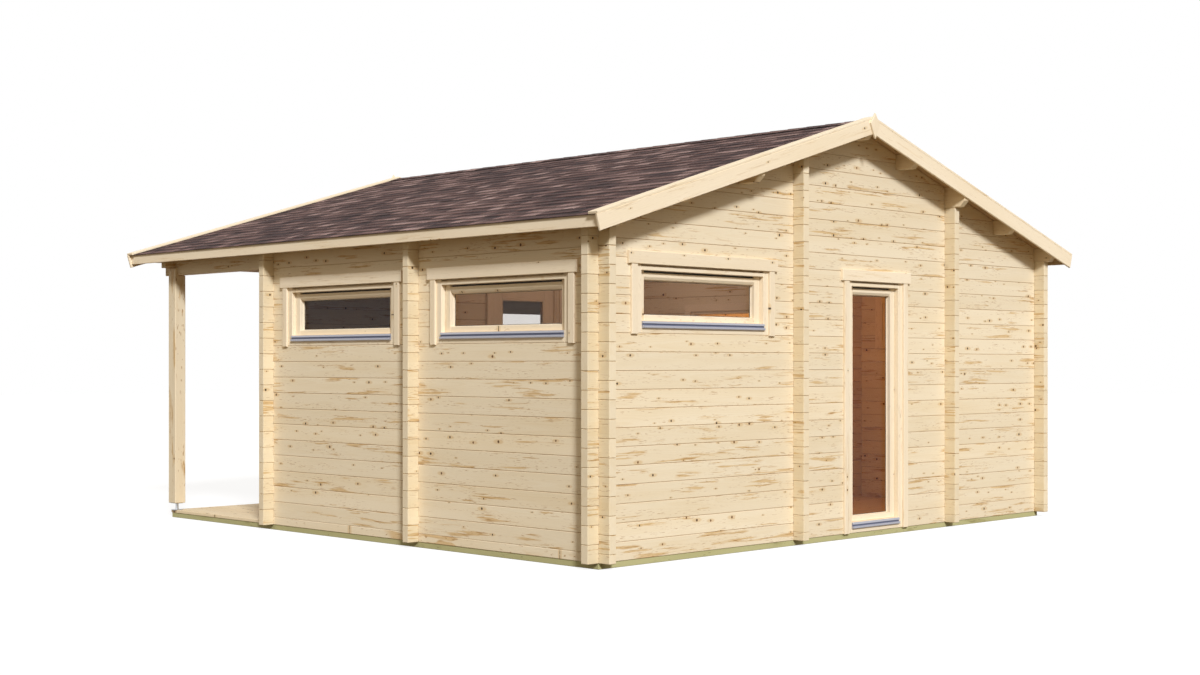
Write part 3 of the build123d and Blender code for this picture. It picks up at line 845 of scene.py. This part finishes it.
@dataclass
class RoofFrame:
    """Slopes of the roof, and the boards under its shingles."""

    pitch: float = math.radians(17.0)
    ridge_top: float = 3.4349
    board_reach: float = 3.132
    board_thickness: float = 0.019
    board_width: float = 0.0965
    board_play: float = 0.0003
    end_y: float = 3.1375
    groove: float = 0.003
    ridge_gap: float = 0.003

    def slope(self, side: int) -> Matrix:
        """Frame of one slope: X down it from the ridge, Z out of it.

        Args:
            side: 1 for the right slope, -1 for the left.

        Returns:
            The matrix from slope to cabin coordinates.
        """
        turn = Matrix.Rotation(0.0 if side > 0 else math.pi, 4, "Z")
        tilt = Matrix.Rotation(self.pitch, 4, "Y")
        return Matrix.Translation((0.0, 0.0, self.ridge_top)) @ turn @ tilt

    def build(self) -> None:
        """Build the tongued boards of both slopes, grooved where they meet."""
        length = self.board_reach / math.cos(self.pitch)
        for name, side in SIDES:
            joinery = Joinery(Axis.EDGE)
            for index in range(math.ceil(2 * self.end_y / self.board_width)):
                start = -self.end_y + index * self.board_width
                end = min(start + self.board_width - self.board_play, self.end_y)
                joinery.board((self.ridge_gap, start, -self.board_thickness), (length, end, 0.0), self.groove,
                              self.slope(side))
            part = Part(f"soffit_boards_{name}", Slot.SPRUCE, (f"roof_boards_{name}",))
            # The roof boards take the board finish with painted shade.
            joinery.piece(part, FINISHES.soffit)


@dataclass
class ShingleRoof:
    """Courses of bitumen tabs on both slopes, and folded tabs along the ridge."""

    frame: RoofFrame
    reach: float = 3.164
    exposure: float = 0.145
    overlap: float = 0.012
    narrow: float = 0.085
    wide: float = 0.235
    slit: float = 0.004
    least_width: float = 0.01
    least_course: float = 0.03
    underlay: float = 0.0016
    butt: float = 0.0060
    covered: float = 0.0006
    doubled_share: float = 0.55
    doubled_drop: tuple[float, float] = (0.0, 0.004)
    single_drop: tuple[float, float] = (0.004, 0.012)
    single_height: float = 0.62
    cap_width: float = 0.125
    cap_exposure: float = 0.200
    cap_lap: float = 0.03
    cap_end: float = 3.0672
    cap_heights: tuple[float, float] = (0.0052, 0.0018)

    def build(self) -> None:
        """Build and dress both slopes and the ridge."""
        for name, side in SIDES:
            self.courses(name, side)
        self.ridge()

    def courses(self, name: str, side: int) -> None:
        """Lay the courses of one slope from the eave up.

        Args:
            name: Right or left.
            side: 1 or -1.
        """
        chance = random.Random(f"shingles {name}")
        mesh = bmesh.new()
        length = self.reach / math.cos(self.frame.pitch)
        end = self.frame.end_y
        wedge(mesh, (0.0, -end, 0.0), (length - 0.002, end, self.underlay), self.underlay, self.underlay)
        course = 0
        while length - course * self.exposure > self.least_course:
            low = length - course * self.exposure
            high = max(low - self.exposure - self.overlap, 0.002)
            start = -end - chance.uniform(0.0, self.narrow)
            while start < end:
                width = chance.uniform(self.narrow, self.wide)
                first, last = max(start, -end), min(start + width - self.slit, end)
                if last - first > self.least_width:
                    doubled = chance.random() < self.doubled_share
                    top = self.butt if doubled else self.butt * self.single_height
                    drop = chance.uniform(*(self.doubled_drop if doubled else self.single_drop))
                    if course == 0:
                        drop = 0.0
                    wedge(mesh, (high, first, self.underlay * 0.9), (low - drop, last, top), top,
                          self.underlay + self.covered)
                start += width
            course += 1
        part = Part(f"shingle_courses_{name}", Slot.SHINGLE, (f"shingles_{name}",))
        self.finish(mesh, self.frame.slope(side), part)

    def ridge(self) -> None:
        """Fold the ridge tabs over both slopes, each lapping the one before."""
        chance = random.Random("ridge")
        mesh = bmesh.new()
        count = round(2 * self.cap_end / self.cap_exposure)
        step = 2 * self.cap_end / count
        thick, thin = (self.butt + height for height in self.cap_heights)
        up = Matrix.Translation((0.0, 0.0, self.frame.ridge_top))
        for index in range(count):
            start = -self.cap_end + index * step
            reach = self.cap_width - chance.uniform(0.0, 0.003)
            lap = min(start + step + self.cap_lap, self.cap_end)
            group: list[Vert] = []
            for _, side in SIDES:
                made = wedge(mesh, (-0.0004, 0.0, self.butt), (reach, lap - start, thick), thick, thin,
                             across=True)
                mirror = Matrix.Scale(side, 4, (1.0, 0.0, 0.0))
                tilt = Matrix.Rotation(self.frame.pitch * side, 4, "Y")
                along = Matrix.Translation((0.0, start, 0.0))
                bmesh.ops.transform(mesh, verts=made, matrix=up @ tilt @ (along @ mirror))
                group += made
            faces = list({face for vert in group for face in vert.link_faces})
            bmesh.ops.recalc_face_normals(mesh, faces=faces)
        self.finish(mesh, IDENTITY, Part("ridge_tabs", Slot.SHINGLE, ("ridge_cap",)))

    def finish(self, mesh: Mesh, turn: Matrix, part: Part) -> None:
        """Place the tabs on the roof and give each its tone."""
        bmesh.ops.transform(mesh, matrix=turn, verts=mesh.verts)
        chance = random.Random(part.name)
        tone = mesh.verts.layers.float_vector.new("tone")
        for group in islands(mesh):
            value = Vector((chance.random(), chance.random(), chance.random()))
            for vert in group:
                vert[tone] = value
        finished(mesh, part, [FINISHES.single(FINISHES.shingle)])


def wedge(mesh: Mesh, low: Triple, high: Triple, thick: float, thin: float,
          across: bool = False) -> list[Vert]:
    """Add a shingle tab that is thick at its free edge and thin where the next one covers it.

    Args:
        mesh: The mesh to add to.
        low: Lowest corner.
        high: Highest corner.
        thick: Height of the top at the free edge, which is at high X, or at low Y if across.
        thin: Height of the top at the covered edge.
        across: Whether the tab tapers along Y.

    Returns:
        The new vertices.
    """
    made = box(mesh, low, high)
    middle = (Vector(low) + Vector(high)) / 2
    for vert in made:
        if vert.co.z > middle.z:
            free = vert.co.y < middle.y if across else vert.co.x > middle.x
            vert.co.z = thick if free else thin
    return made


@dataclass
class Porch:
    """Deck boards and notched posts on their steel feet."""

    half_width: float = 2.95
    wall_inner: float = 2.8797
    front: float = -2.7615
    log_end: float = -1.2438
    back: float = -1.1378
    bottom: float = 0.044
    top: float = 0.070
    board_width: float = 0.1135
    board_play: float = 0.0006

    def build(self) -> None:
        """Build and dress the deck and the posts."""
        joinery = Joinery()
        count = round(2 * self.half_width / self.board_width)
        step = 2 * self.half_width / count
        for index in range(count):
            start = -self.half_width + index * step
            inner = start > -self.wall_inner and start + step < self.wall_inner
            end = self.back if inner else self.log_end
            joinery.board((start, self.front, self.bottom), (start + step - self.board_play, end, self.top),
                          0.0025)
        joinery.piece(Part("deck_boards", Slot.SPRUCE, ("terrace_deck",)), FINISHES.boards)
        Planed(("porch_posts",), FINISHES.logs, edge=0.005).build()
        dress("post_feet", FINISHES.single(FINISHES.steel))


def dress(node: str, material: Material) -> None:
    """Give a node that stays its material.

    Args:
        node: The node's name.
        material: The material for all of it.
    """
    data = frame["nodes"][node].data
    data.materials.clear()
    data.materials.append(material)
    log.info("%s: kept, with %s", node, material.name)


@dataclass
class Floors:
    """Tongued floor boards in the three rooms."""

    bottom: float = 0.044
    top: float = 0.073
    board_width: float = 0.0955
    board_play: float = 0.0004
    butt_play: float = 0.0002
    rooms: tuple[Rect, ...] = (
        (0.7703, 2.8797, 0.9328, 2.8622), (-2.8797, 0.6997, 0.9328, 2.8622),
        (-2.8797, 2.8797, -1.0672, 0.8622))
    holes: tuple[Triple, ...] = ((-1.4403, -1.3697, 2.4822), (-0.7515, 0.0815, 2.8322))

    def build(self) -> None:
        """Lay the boards along X, cut round the short log wall and the tall window."""
        joinery = Joinery()
        chance = random.Random("floor")
        for x1, x2, y1, y2 in self.rooms:
            for index in range(math.ceil((y2 - y1) / self.board_width)):
                start = y1 + index * self.board_width
                end = min(start + self.board_width - self.board_play, y2)
                butt = x1 + (x2 - x1) * chance.uniform(0.25, 0.75)
                cuts = sorted(hole[:2] for hole in self.holes if x1 < hole[0] < x2 and end > hole[2])
                cuts = cuts or [(butt - self.butt_play, butt + self.butt_play)]
                for a, b in zip([x1] + [cut[1] for cut in cuts], [cut[0] for cut in cuts] + [x2]):
                    joinery.board((a, start, self.bottom), (b, end, self.top), 0.0012)
        joinery.piece(Part("floor_boards", Slot.SPRUCE, ("floor_slabs",)), FINISHES.boards)


@dataclass(frozen=True)
class WindowPlace:
    """One window: the middle of its opening along the wall, its width and its height range."""

    middle: float
    width: float
    bottom: float
    top: float


@dataclass
class WallWindows:
    """The windows of one wall: frames, sashes, beads, seals, casings and sills."""

    name: str
    places: tuple[WindowPlace, ...]
    wall_face: float
    turn: float
    play: float = 0.0005
    frame_width: float = 0.085
    frame_depth: float = 0.100
    sash_lift: float = 0.088
    sash_width: float = 0.064
    sash_bottom: float = 0.043
    sash_recess: float = 0.038
    sash_depth: float = 0.056
    glass_recess: float = 0.086
    glass_thickness: float = 0.004
    head_cover: float = 0.042
    bead: float = 0.006
    drip_gap: float = 0.014
    groove: float = 0.032
    seal_reach: float = 0.003
    seal_depths: tuple[float, float] = (0.0002, 0.0022)
    # Inset, depths and heights of the seal over the sash, which also paints the shade in the gap above it.
    strip_inset: float = 0.005
    strip_depths: tuple[float, float] = (0.026, 0.020)
    strip_heights: tuple[float, float] = (0.001, 0.0012)
    # Depths, heights and inset of the dark strip that paints the shade in the sill's recess.
    channel_depths: tuple[float, float] = (0.0032, 0.0060)
    channel_heights: tuple[float, float] = (0.0308, 0.0172)
    channel_inset: float = 0.0005
    edge: float = 0.003
    rail_step: float = 0.030
    rail_rise: float = 0.020
    rail_slope: float = 0.012
    sill_outline: tuple[tuple[float, float], ...] = (
        (0.0, 0.0), (0.008, -0.0005), (0.0165, -0.0145), (0.0165, -0.0165), (0.003, -0.0170),
        (0.003, -0.0310), (0.0185, -0.0315), (0.0200, -0.0330), (0.0200, -0.0450), (0.0150, -0.0500),
        (0.0, -0.0500))

    def __post_init__(self) -> None:
        """Work out where the wall is."""
        self.wall = Matrix.Rotation(math.radians(self.turn), 4, "Z") @ Matrix.Translation(
            (0.0, self.wall_face, 0.0))

    def build(self) -> None:
        """Build and dress every part of the windows."""
        frames, sashes, seals, sills = Joinery(), Joinery(), Joinery(), Joinery()
        for place in self.places:
            self.fixed_frame(frames, place)
            self.sash(sashes, place)
            self.seal(seals, place)
            self.sill(sills, place)
        prefix = self.name
        frames.piece(Part(f"{prefix}_outer_frames", Slot.SPRUCE, (f"{prefix}_frames",)), FINISHES.trim)
        sashes.piece(Part(f"{prefix}_sashes", Slot.SPRUCE, (f"{prefix}_frames",)), FINISHES.trim)
        finished(seals.mesh, Part(f"{prefix}_seals", Slot.SPRUCE, (f"{prefix}_frames",)),
                 [FINISHES.single(FINISHES.rubber)])
        # The drip sills take the sill metal and its dark copy that paints the shade in their recess.
        finished(sills.mesh, Part(f"{prefix}_drip_sills", Slot.SILL, (f"{prefix}_sills",)),
                 [FINISHES.single(FINISHES.sill), FINISHES.single(FINISHES.channel)])
        Planed((f"{prefix}_casings",), FINISHES.trim, f"{prefix}_casing_boards", edge=0.0025).build()
        dress(f"{prefix}_glass", FINISHES.single(FINISHES.pane))

    def edges(self, place: WindowPlace, inset: float, lift: float) -> Rect:
        """Left, right, bottom and top of a rectangle inside the opening."""
        half = place.width / 2 - inset
        return place.middle - half, place.middle + half, place.bottom + lift, place.top - inset

    def sash_edges(self, place: WindowPlace) -> tuple[Rect, Rect]:
        """Outer and inner rectangles of the sash."""
        outer = self.edges(place, self.frame_width + self.play * 2, self.sash_lift + self.play * 2)
        return outer, inside(outer, self.sash_width, self.sash_bottom)

    def fixed_frame(self, joinery: Joinery, place: WindowPlace) -> None:
        """Add the frame that fills the opening, its head grooved under the casing."""
        outer = self.edges(place, self.play, self.play)
        back, groove = -self.frame_depth, outer[3] - self.head_cover
        drip = groove - self.drip_gap
        left, right, foot, (low, high) = members(
            outer, inside(outer, self.frame_width, self.sash_lift), back, 0.0)
        head = ((low, (high[0], 0.0, drip)), ((low[0], back, drip), (high[0], -self.groove, groove)),
                ((low[0], back, groove), high))
        joinery.boards((left, right, foot, *head), self.edge, self.wall)

    def sash(self, joinery: Joinery, place: WindowPlace) -> None:
        """Add the sash, its top rail sloping out to the pane, and the beads that hold the pane."""
        outer, inner = self.sash_edges(place)
        (o1, o2, p1, p2), (x1, x2, z1, z2) = outer, inner
        back, front = -self.sash_recess - self.sash_depth, -self.sash_recess
        sides_and_foot = members((o1 + 0.003, o2 - 0.003, p1, p2), inner, back, front)[:3]
        joinery.boards(sides_and_foot, self.edge, self.wall)
        top, high, step = p2 - self.drip_gap, p2 - 0.001, front - self.rail_step
        rail = ((back, z2), (back, high), (step, high), (step, top), (front, top),
                (front, z2 + self.rail_rise), (front - self.rail_slope, z2))
        joinery.outline(rail, x1 + JOINT_GAP, x2 - JOINT_GAP, self.wall, 0.0012)
        pane, bead = -self.glass_recess + self.glass_thickness, self.bead
        rise = ((pane, 0.0), (pane + bead * 2.5, 0.0), (pane + 0.003, bead), (pane, bead))
        upright = self.wall @ Matrix.Rotation(-math.pi / 2, 4, "Y")
        for base, flip, ends, turn in ((z1, 1.0, (x1, x2), self.wall), (z2, -1.0, (x1, x2), self.wall),
                                         (-x1, -1.0, (z1 + bead, z2 - bead), upright),
                                         (-x2, 1.0, (z1 + bead, z2 - bead), upright)):
            joinery.outline([(y, base + flip * z) for y, z in rise], *ends, turn, 0.0005)

    def seal(self, joinery: Joinery, place: WindowPlace) -> None:
        """Add the dark strips between the pane and its beads, and the one over the sash, a real seal that is
        also there to paint the shade in the gap under the frame head.
        """
        (x1, x2, _, top), inner = self.sash_edges(place)
        wide = self.bead + self.seal_reach
        pane = -self.glass_recess + self.glass_thickness
        near, far = (pane + depth for depth in self.seal_depths)
        joinery.boards(members(inner, inside(inner, wide, wide), near, far), 0.0, self.wall)
        # The seal over the sash: partly a real seal, partly painted shade filling the gap under the frame
        # head.
        back, front = (-self.sash_recess - depth for depth in self.strip_depths)
        low, high = self.strip_heights
        joinery.board((x1 + self.strip_inset, back, top - self.drip_gap + low),
                      (x2 - self.strip_inset, front, top - high), 0.0, self.wall)

    def sill(self, joinery: Joinery, place: WindowPlace) -> None:
        """Add the folded drip sill below the sash, with a dark strip in its recess that paints the shade
        there.
        """
        x1, x2, z1, _ = self.edges(place, self.frame_width + self.play * 2, self.sash_lift)
        points = [(y, z1 + z) for y, z in self.sill_outline]
        joinery.outline(points, x1, x2, self.wall)
        # Painted shade: a dark strip of the sill's metal fills the recess, as the second material.
        plain = set(joinery.mesh.faces)
        back, front = self.channel_depths
        low, high = (z1 - height for height in self.channel_heights)
        joinery.board((x1 + self.channel_inset, back, low), (x2 - self.channel_inset, front, high), 0.0,
                      self.wall)
        for face in set(joinery.mesh.faces) - plain:
            face.material_index = 1


@dataclass
class GlazedDoor:
    """A glazed door in a wall along X: frame, casing, leaf, knobs and hinges."""

    name: str
    body: str
    middle: float
    width: float
    head: float
    wall: tuple[float, float]
    bottom: float = 0.073
    play: float = 0.0005
    frame_width: float = 0.045
    running_gap: float = 0.007
    casing_width: float = 0.062
    casing_thickness: float = 0.020
    leaf_thickness: float = 0.040
    stile: float = 0.110
    bottom_rail: float = 0.200
    knob_height: float = 1.020
    knob_reach: float = 0.045
    knob_radius: float = 0.022
    hinge_radius: float = 0.008
    hinge_barrel: float = 0.045
    hinge_plate: tuple[float, float] = (0.032, 0.003)
    hinge_inset: float = 0.220
    bead: float = 0.012
    edge: float = 0.0025
    screw: tuple[tuple[float, float], ...] = ((0.0, 0.0), (0.0035, 0.0), (0.0030, 0.0009), (0.0, 0.0012))
    knob: tuple[tuple[float, float], ...] = (
        (0.0, 0.0), (0.75, 0.0), (0.72, 0.0), (0.42, 0.0), (0.40, 0.42), (0.85, 0.55), (1.0, 0.72),
        (0.93, 0.90), (0.6, 0.99), (0.0, 1.0))
    rose: tuple[float, float] = (0.004, 0.008)

    def build(self) -> None:
        """Build and dress the door."""
        self.frame_and_casing()
        self.leaf()
        self.fittings()
        dress(f"{self.name}_glass", FINISHES.single(FINISHES.pane))

    def leaf_edges(self) -> Rect:
        """Left, right, bottom and top of the leaf."""
        inset = self.play + self.frame_width + self.running_gap
        half = self.width / 2 - inset
        return self.middle - half, self.middle + half, self.bottom + self.running_gap, self.head - inset

    def frame_and_casing(self) -> None:
        """Jambs and head in the opening with their stops, and boards on the wall's inner face."""
        joinery = Joinery()
        half = self.width / 2 - self.play
        outer = (self.middle - half, self.middle + half, self.bottom, self.head - self.play)
        y1, y2 = self.wall
        lining = inside(outer, self.frame_width, 0.0)
        stop = inside(lining, self.bead, 0.0)
        for out, within, back, front in ((outer, lining, y1, y2),
                                         (lining, stop, y1 + self.leaf_thickness + 0.002, y2 - 0.004)):
            left, right, _, head = members(out, within, back, front, 0.0)
            joinery.boards((left, right, head), 0.002)
        cover = self.frame_width / 2
        out = self.casing_width - cover
        left, right = self.middle - self.width / 2, self.middle + self.width / 2
        face, over = y2 + self.casing_thickness, self.head - cover
        joinery.boards((((left - out, y2, self.bottom), (left + cover, face, over)),
                        ((right - cover, y2, self.bottom), (right + out, face, over)),
                        ((left - out, y2, over), (right + out, face, self.head + out))), self.edge)
        joinery.piece(Part(f"{self.name}_frame_boards", Slot.SPRUCE, (f"{self.name}_frame",)), FINISHES.trim)

    def leaf(self) -> None:
        """Stiles, rails and beads of the leaf."""
        joinery = Joinery()
        outer, y1 = self.leaf_edges(), self.wall[0]
        y2 = y1 + self.leaf_thickness
        inner = inside(outer, self.stile, self.bottom_rail)
        joinery.boards(members(outer, inner, y1, y2), self.edge)
        pane = inside(inner, self.bead, self.bead)
        depth = self.leaf_thickness / 2 - 0.004
        for face in (y1 + 0.001, y2 - 0.001 - depth):
            joinery.boards(members(inner, pane, face, face + depth, 0.0), 0.003)
        joinery.piece(Part(f"{self.name}_leaf_boards", Slot.SPRUCE, (f"{self.name}_leaf",), self.body),
                      FINISHES.trim)

    def fittings(self) -> None:
        """Turned knobs and hinge halves."""
        x1, x2, z1, z2 = self.leaf_edges()
        y1 = self.wall[0]
        knobs, jamb_side, leaf_side = Joinery(), Joinery(), Joinery()
        heights = [share * self.knob_reach for _, share in self.knob]
        heights[2:4] = self.rose
        profile = [(share * self.knob_radius, height) for (share, _), height in zip(self.knob, heights)]
        for face, outward in ((y1, -1.0), (y1 + self.leaf_thickness, 1.0)):
            place = (x1 + self.stile / 2, face, self.knob_height)
            turn = Matrix.Translation(place) @ Matrix.Rotation(-outward * math.pi / 2, 4, "X")
            lathe(knobs.mesh, profile, turn)
        gap = self.running_gap / 2
        axis = (x2 + gap, y1 - self.hinge_radius - 0.0003)
        width, thickness = self.hinge_plate
        for z in (z1 + self.hinge_inset, z2 - self.hinge_inset):
            self.hinge_half(jamb_side, axis, z - self.hinge_barrel, axis[0] + gap, axis[0] + gap + width,
                            thickness)
            self.hinge_half(leaf_side, axis, z + 0.0003, axis[0] - gap - width, axis[0] - gap, thickness)
        for joinery, name, node, body in ((knobs, "knobs", "leaf", self.body),
                                          (jamb_side, "jamb_hinges", "frame", "cabin"),
                                          (leaf_side, "leaf_hinges", "leaf", self.body)):
            finished(joinery.mesh, Part(f"{self.name}_{name}", Slot.STEEL, (f"{self.name}_{node}",), body),
                     [FINISHES.single(FINISHES.steel)], 40.0)

    def hinge_half(self, joinery: Joinery, axis: tuple[float, float], low: float, x1: float, x2: float,
                   thickness: float) -> None:
        """Add one half of a hinge: its barrel and its plate with two screws.

        Args:
            joinery: What to add to.
            axis: X and Y of the pin.
            low: Bottom of the half.
            x1: First X of the plate.
            x2: Last X of the plate.
            thickness: Thickness of the plate.
        """
        radius, height = self.hinge_radius, self.hinge_barrel
        profile = ((0.0, 0.0), (radius * 0.86, 0.0), (radius, 0.001), (radius, height - 0.001),
                   (radius * 0.86, height), (0.0, height))
        lathe(joinery.mesh, profile, Matrix.Translation((*axis, low)), 20)
        face = self.wall[0]
        joinery.board((x1, face - thickness, low), (x2, face, low + height), 0.0006)
        for lift in (0.25, 0.75):
            place = ((x1 + x2) / 2, face - thickness, low + height * lift)
            turn = Matrix.Translation(place) @ Matrix.Rotation(math.pi / 2, 4, "X")
            lathe(joinery.mesh, self.screw, turn, 12)


@dataclass
class Studio:
    """Pale floor, soft light and the camera of the photo."""

    eye: Triple = (11.208, 11.2045, 1.449)
    lens: float = 50.07
    rise: float = 0.0213
    sun_from: Triple = (0.6, 1.0, 0.74)
    sun_power: float = 3.35
    sun_spread: float = 9.0
    sky: float = 0.47
    sky_colour: Colour = (1.0, 0.87, 0.69)
    sun_colour: Colour = (0.93, 0.96, 1.0)
    white: Colour = (1.0, 1.0, 1.0)
    floor_size: float = 120.0
    floor_tones: tuple[Colour, Colour] = ((0.84, 0.84, 0.84), (0.82, 0.82, 0.82))
    floor_bounce: Colour = (0.150, 0.110, 0.060)
    floor_glow: float = 1.14
    floor_glow_share: float = 0.76
    lamp_size: float = 0.35
    rooms: tuple[tuple[Triple, float, Colour], ...] = (
        ((1.65, 2.05, 2.2), 6.6, (1.0, 0.80, 0.70)), ((-1.0, 1.7, 2.2), 18.5, (1.0, 0.48, 0.14)),
        ((0.0, -0.1, 2.2), 1.4, (0.80, 0.86, 1.0)))

    def build(self) -> None:
        """Set up the floor, the world, the lamps, the camera and the view."""
        self.floor()
        self.world()
        self.lamps()
        self.camera()
        bpy.context.scene.view_settings.view_transform = "Standard"

    def floor(self) -> None:
        """Lay a pale floor that looks white and keeps the cabin's shadow."""
        mesh = bmesh.new()
        bmesh.ops.create_grid(mesh, x_segments=8, y_segments=8, size=self.floor_size / 2)
        bmesh.ops.translate(mesh, verts=mesh.verts, vec=(0.0, 0.0, -0.001))
        data = bpy.data.meshes.new("studio_floor")
        mesh.to_mesh(data)
        mesh.free()
        s = Sheet("StudioFloor")
        seen = s.seen()
        shade = s.mix(seen, self.floor_bounce, s.mix(s.noise(s.place(), 2.0), *self.floor_tones))
        matt = s.node("BsdfDiffuse", {"Color": shade})
        glow = s.node("Emission", {"Color": self.white, "Strength": self.floor_glow})
        data.materials.append(s.blend(s.times(seen, self.floor_glow_share), matt, glow))
        placed("studio_floor", data)

    def world(self) -> None:
        """Even light from all round, seen as white."""
        s = Sheet("Studio", world=True)
        light = s.node("Background", {"Color": self.sky_colour, "Strength": self.sky})
        white = s.node("Background", {"Color": self.white, "Strength": 1.0})
        bpy.context.scene.world = s.blend(s.seen(), light, white)

    def lamp(self, name: str, kind: str, power: float, colour: Colour) -> bpy.types.Object:
        """Add a lamp and give its object."""
        light = bpy.data.lights.new(name, kind)
        light.energy = power
        light.color = colour
        return placed(name, light)

    def lamps(self) -> None:
        """One wide, soft sun, and dim lamps in the rooms for what shows through the panes."""
        sun = self.lamp("soft_sun", "SUN", self.sun_power, self.sun_colour)
        sun.data.angle = math.radians(self.sun_spread)
        sun.rotation_euler = Vector(self.sun_from).to_track_quat("Z", "Y").to_euler()
        sun.location = Vector(self.sun_from) * 10
        for index, (place, power, colour) in enumerate(self.rooms):
            room = self.lamp(f"room_{index}", "POINT", power, colour)
            room.data.shadow_soft_size = self.lamp_size
            room.location = place
            room.visible_camera = room.visible_glossy = room.visible_transmission = False

    def camera(self) -> None:
        """The photo's view: level, at eye height, off the near corner."""
        lens = bpy.data.cameras.new("photo_view")
        lens.sensor_width = 36.0
        lens.lens = self.lens
        lens.shift_y = self.rise
        lens.clip_end = 500.0
        holder = placed("photo_view", lens)
        holder.location = self.eye
        holder.rotation_euler = (math.radians(90.0), 0.0, math.radians(135.0))
        bpy.context.scene.camera = holder


def main() -> None:
    """Build the cabin's sub-assemblies in order, then the studio round them."""
    logging.basicConfig(level=logging.INFO, format="%(name)s %(message)s")
    roof = RoofFrame()
    back = (WindowPlace(1.825, 1.545, 1.664, 2.204), WindowPlace(-0.335, 0.833, 0.044, 2.169))
    side = (WindowPlace(1.8975, 1.545, 1.5965, 2.1365), WindowPlace(-0.1025, 1.545, 1.5965, 2.1365))
    mirrored = tuple(WindowPlace(-place.middle, place.width, place.bottom, place.top) for place in side)
    walls = ("back_wall", "front_wall", "right_wall", "left_wall", "cross_partition", "side_partition",
             "short_crossing", "porch_gable")
    parts = [
        Planed(("foundation_side_beams", "foundation_cross_beams", "floor_joists"), FINISHES.impregnated,
               slot=Slot.IMPREGNATED),
        Floors(),
        Planed(walls, FINISHES.logs, "{}_logs", edge=0.004),
        Planed(("eave_purlins", "roof_purlins"), FINISHES.boards),
        roof, ShingleRoof(roof),
        Planed(("barge_boards", "barge_caps"), FINISHES.trim, axis=Axis.EDGE),
        Planed(("finials", "eave_fascias"), FINISHES.trim),
        Porch(),
        WallWindows("back_window", back, 2.9325, 0.0),
        WallWindows("right_window", mirrored, 2.95, -90.0),
        WallWindows("left_window", side, 2.95, 90.0),
        GlazedDoor("entrance", "cabin", 0.0, 0.960, 2.110, (-1.1375, -1.0675)),
        GlazedDoor("partition_door", "partition_door", 1.810, 0.800, 2.140, (0.8625, 0.9325)),
        Planed(("side_doorway_frame",), FINISHES.trim, "side_doorway_lining", edge=0.0025),
        Studio(),
    ]
    for part in parts:
        part.build()


if __name__ == "__main__":
    main()
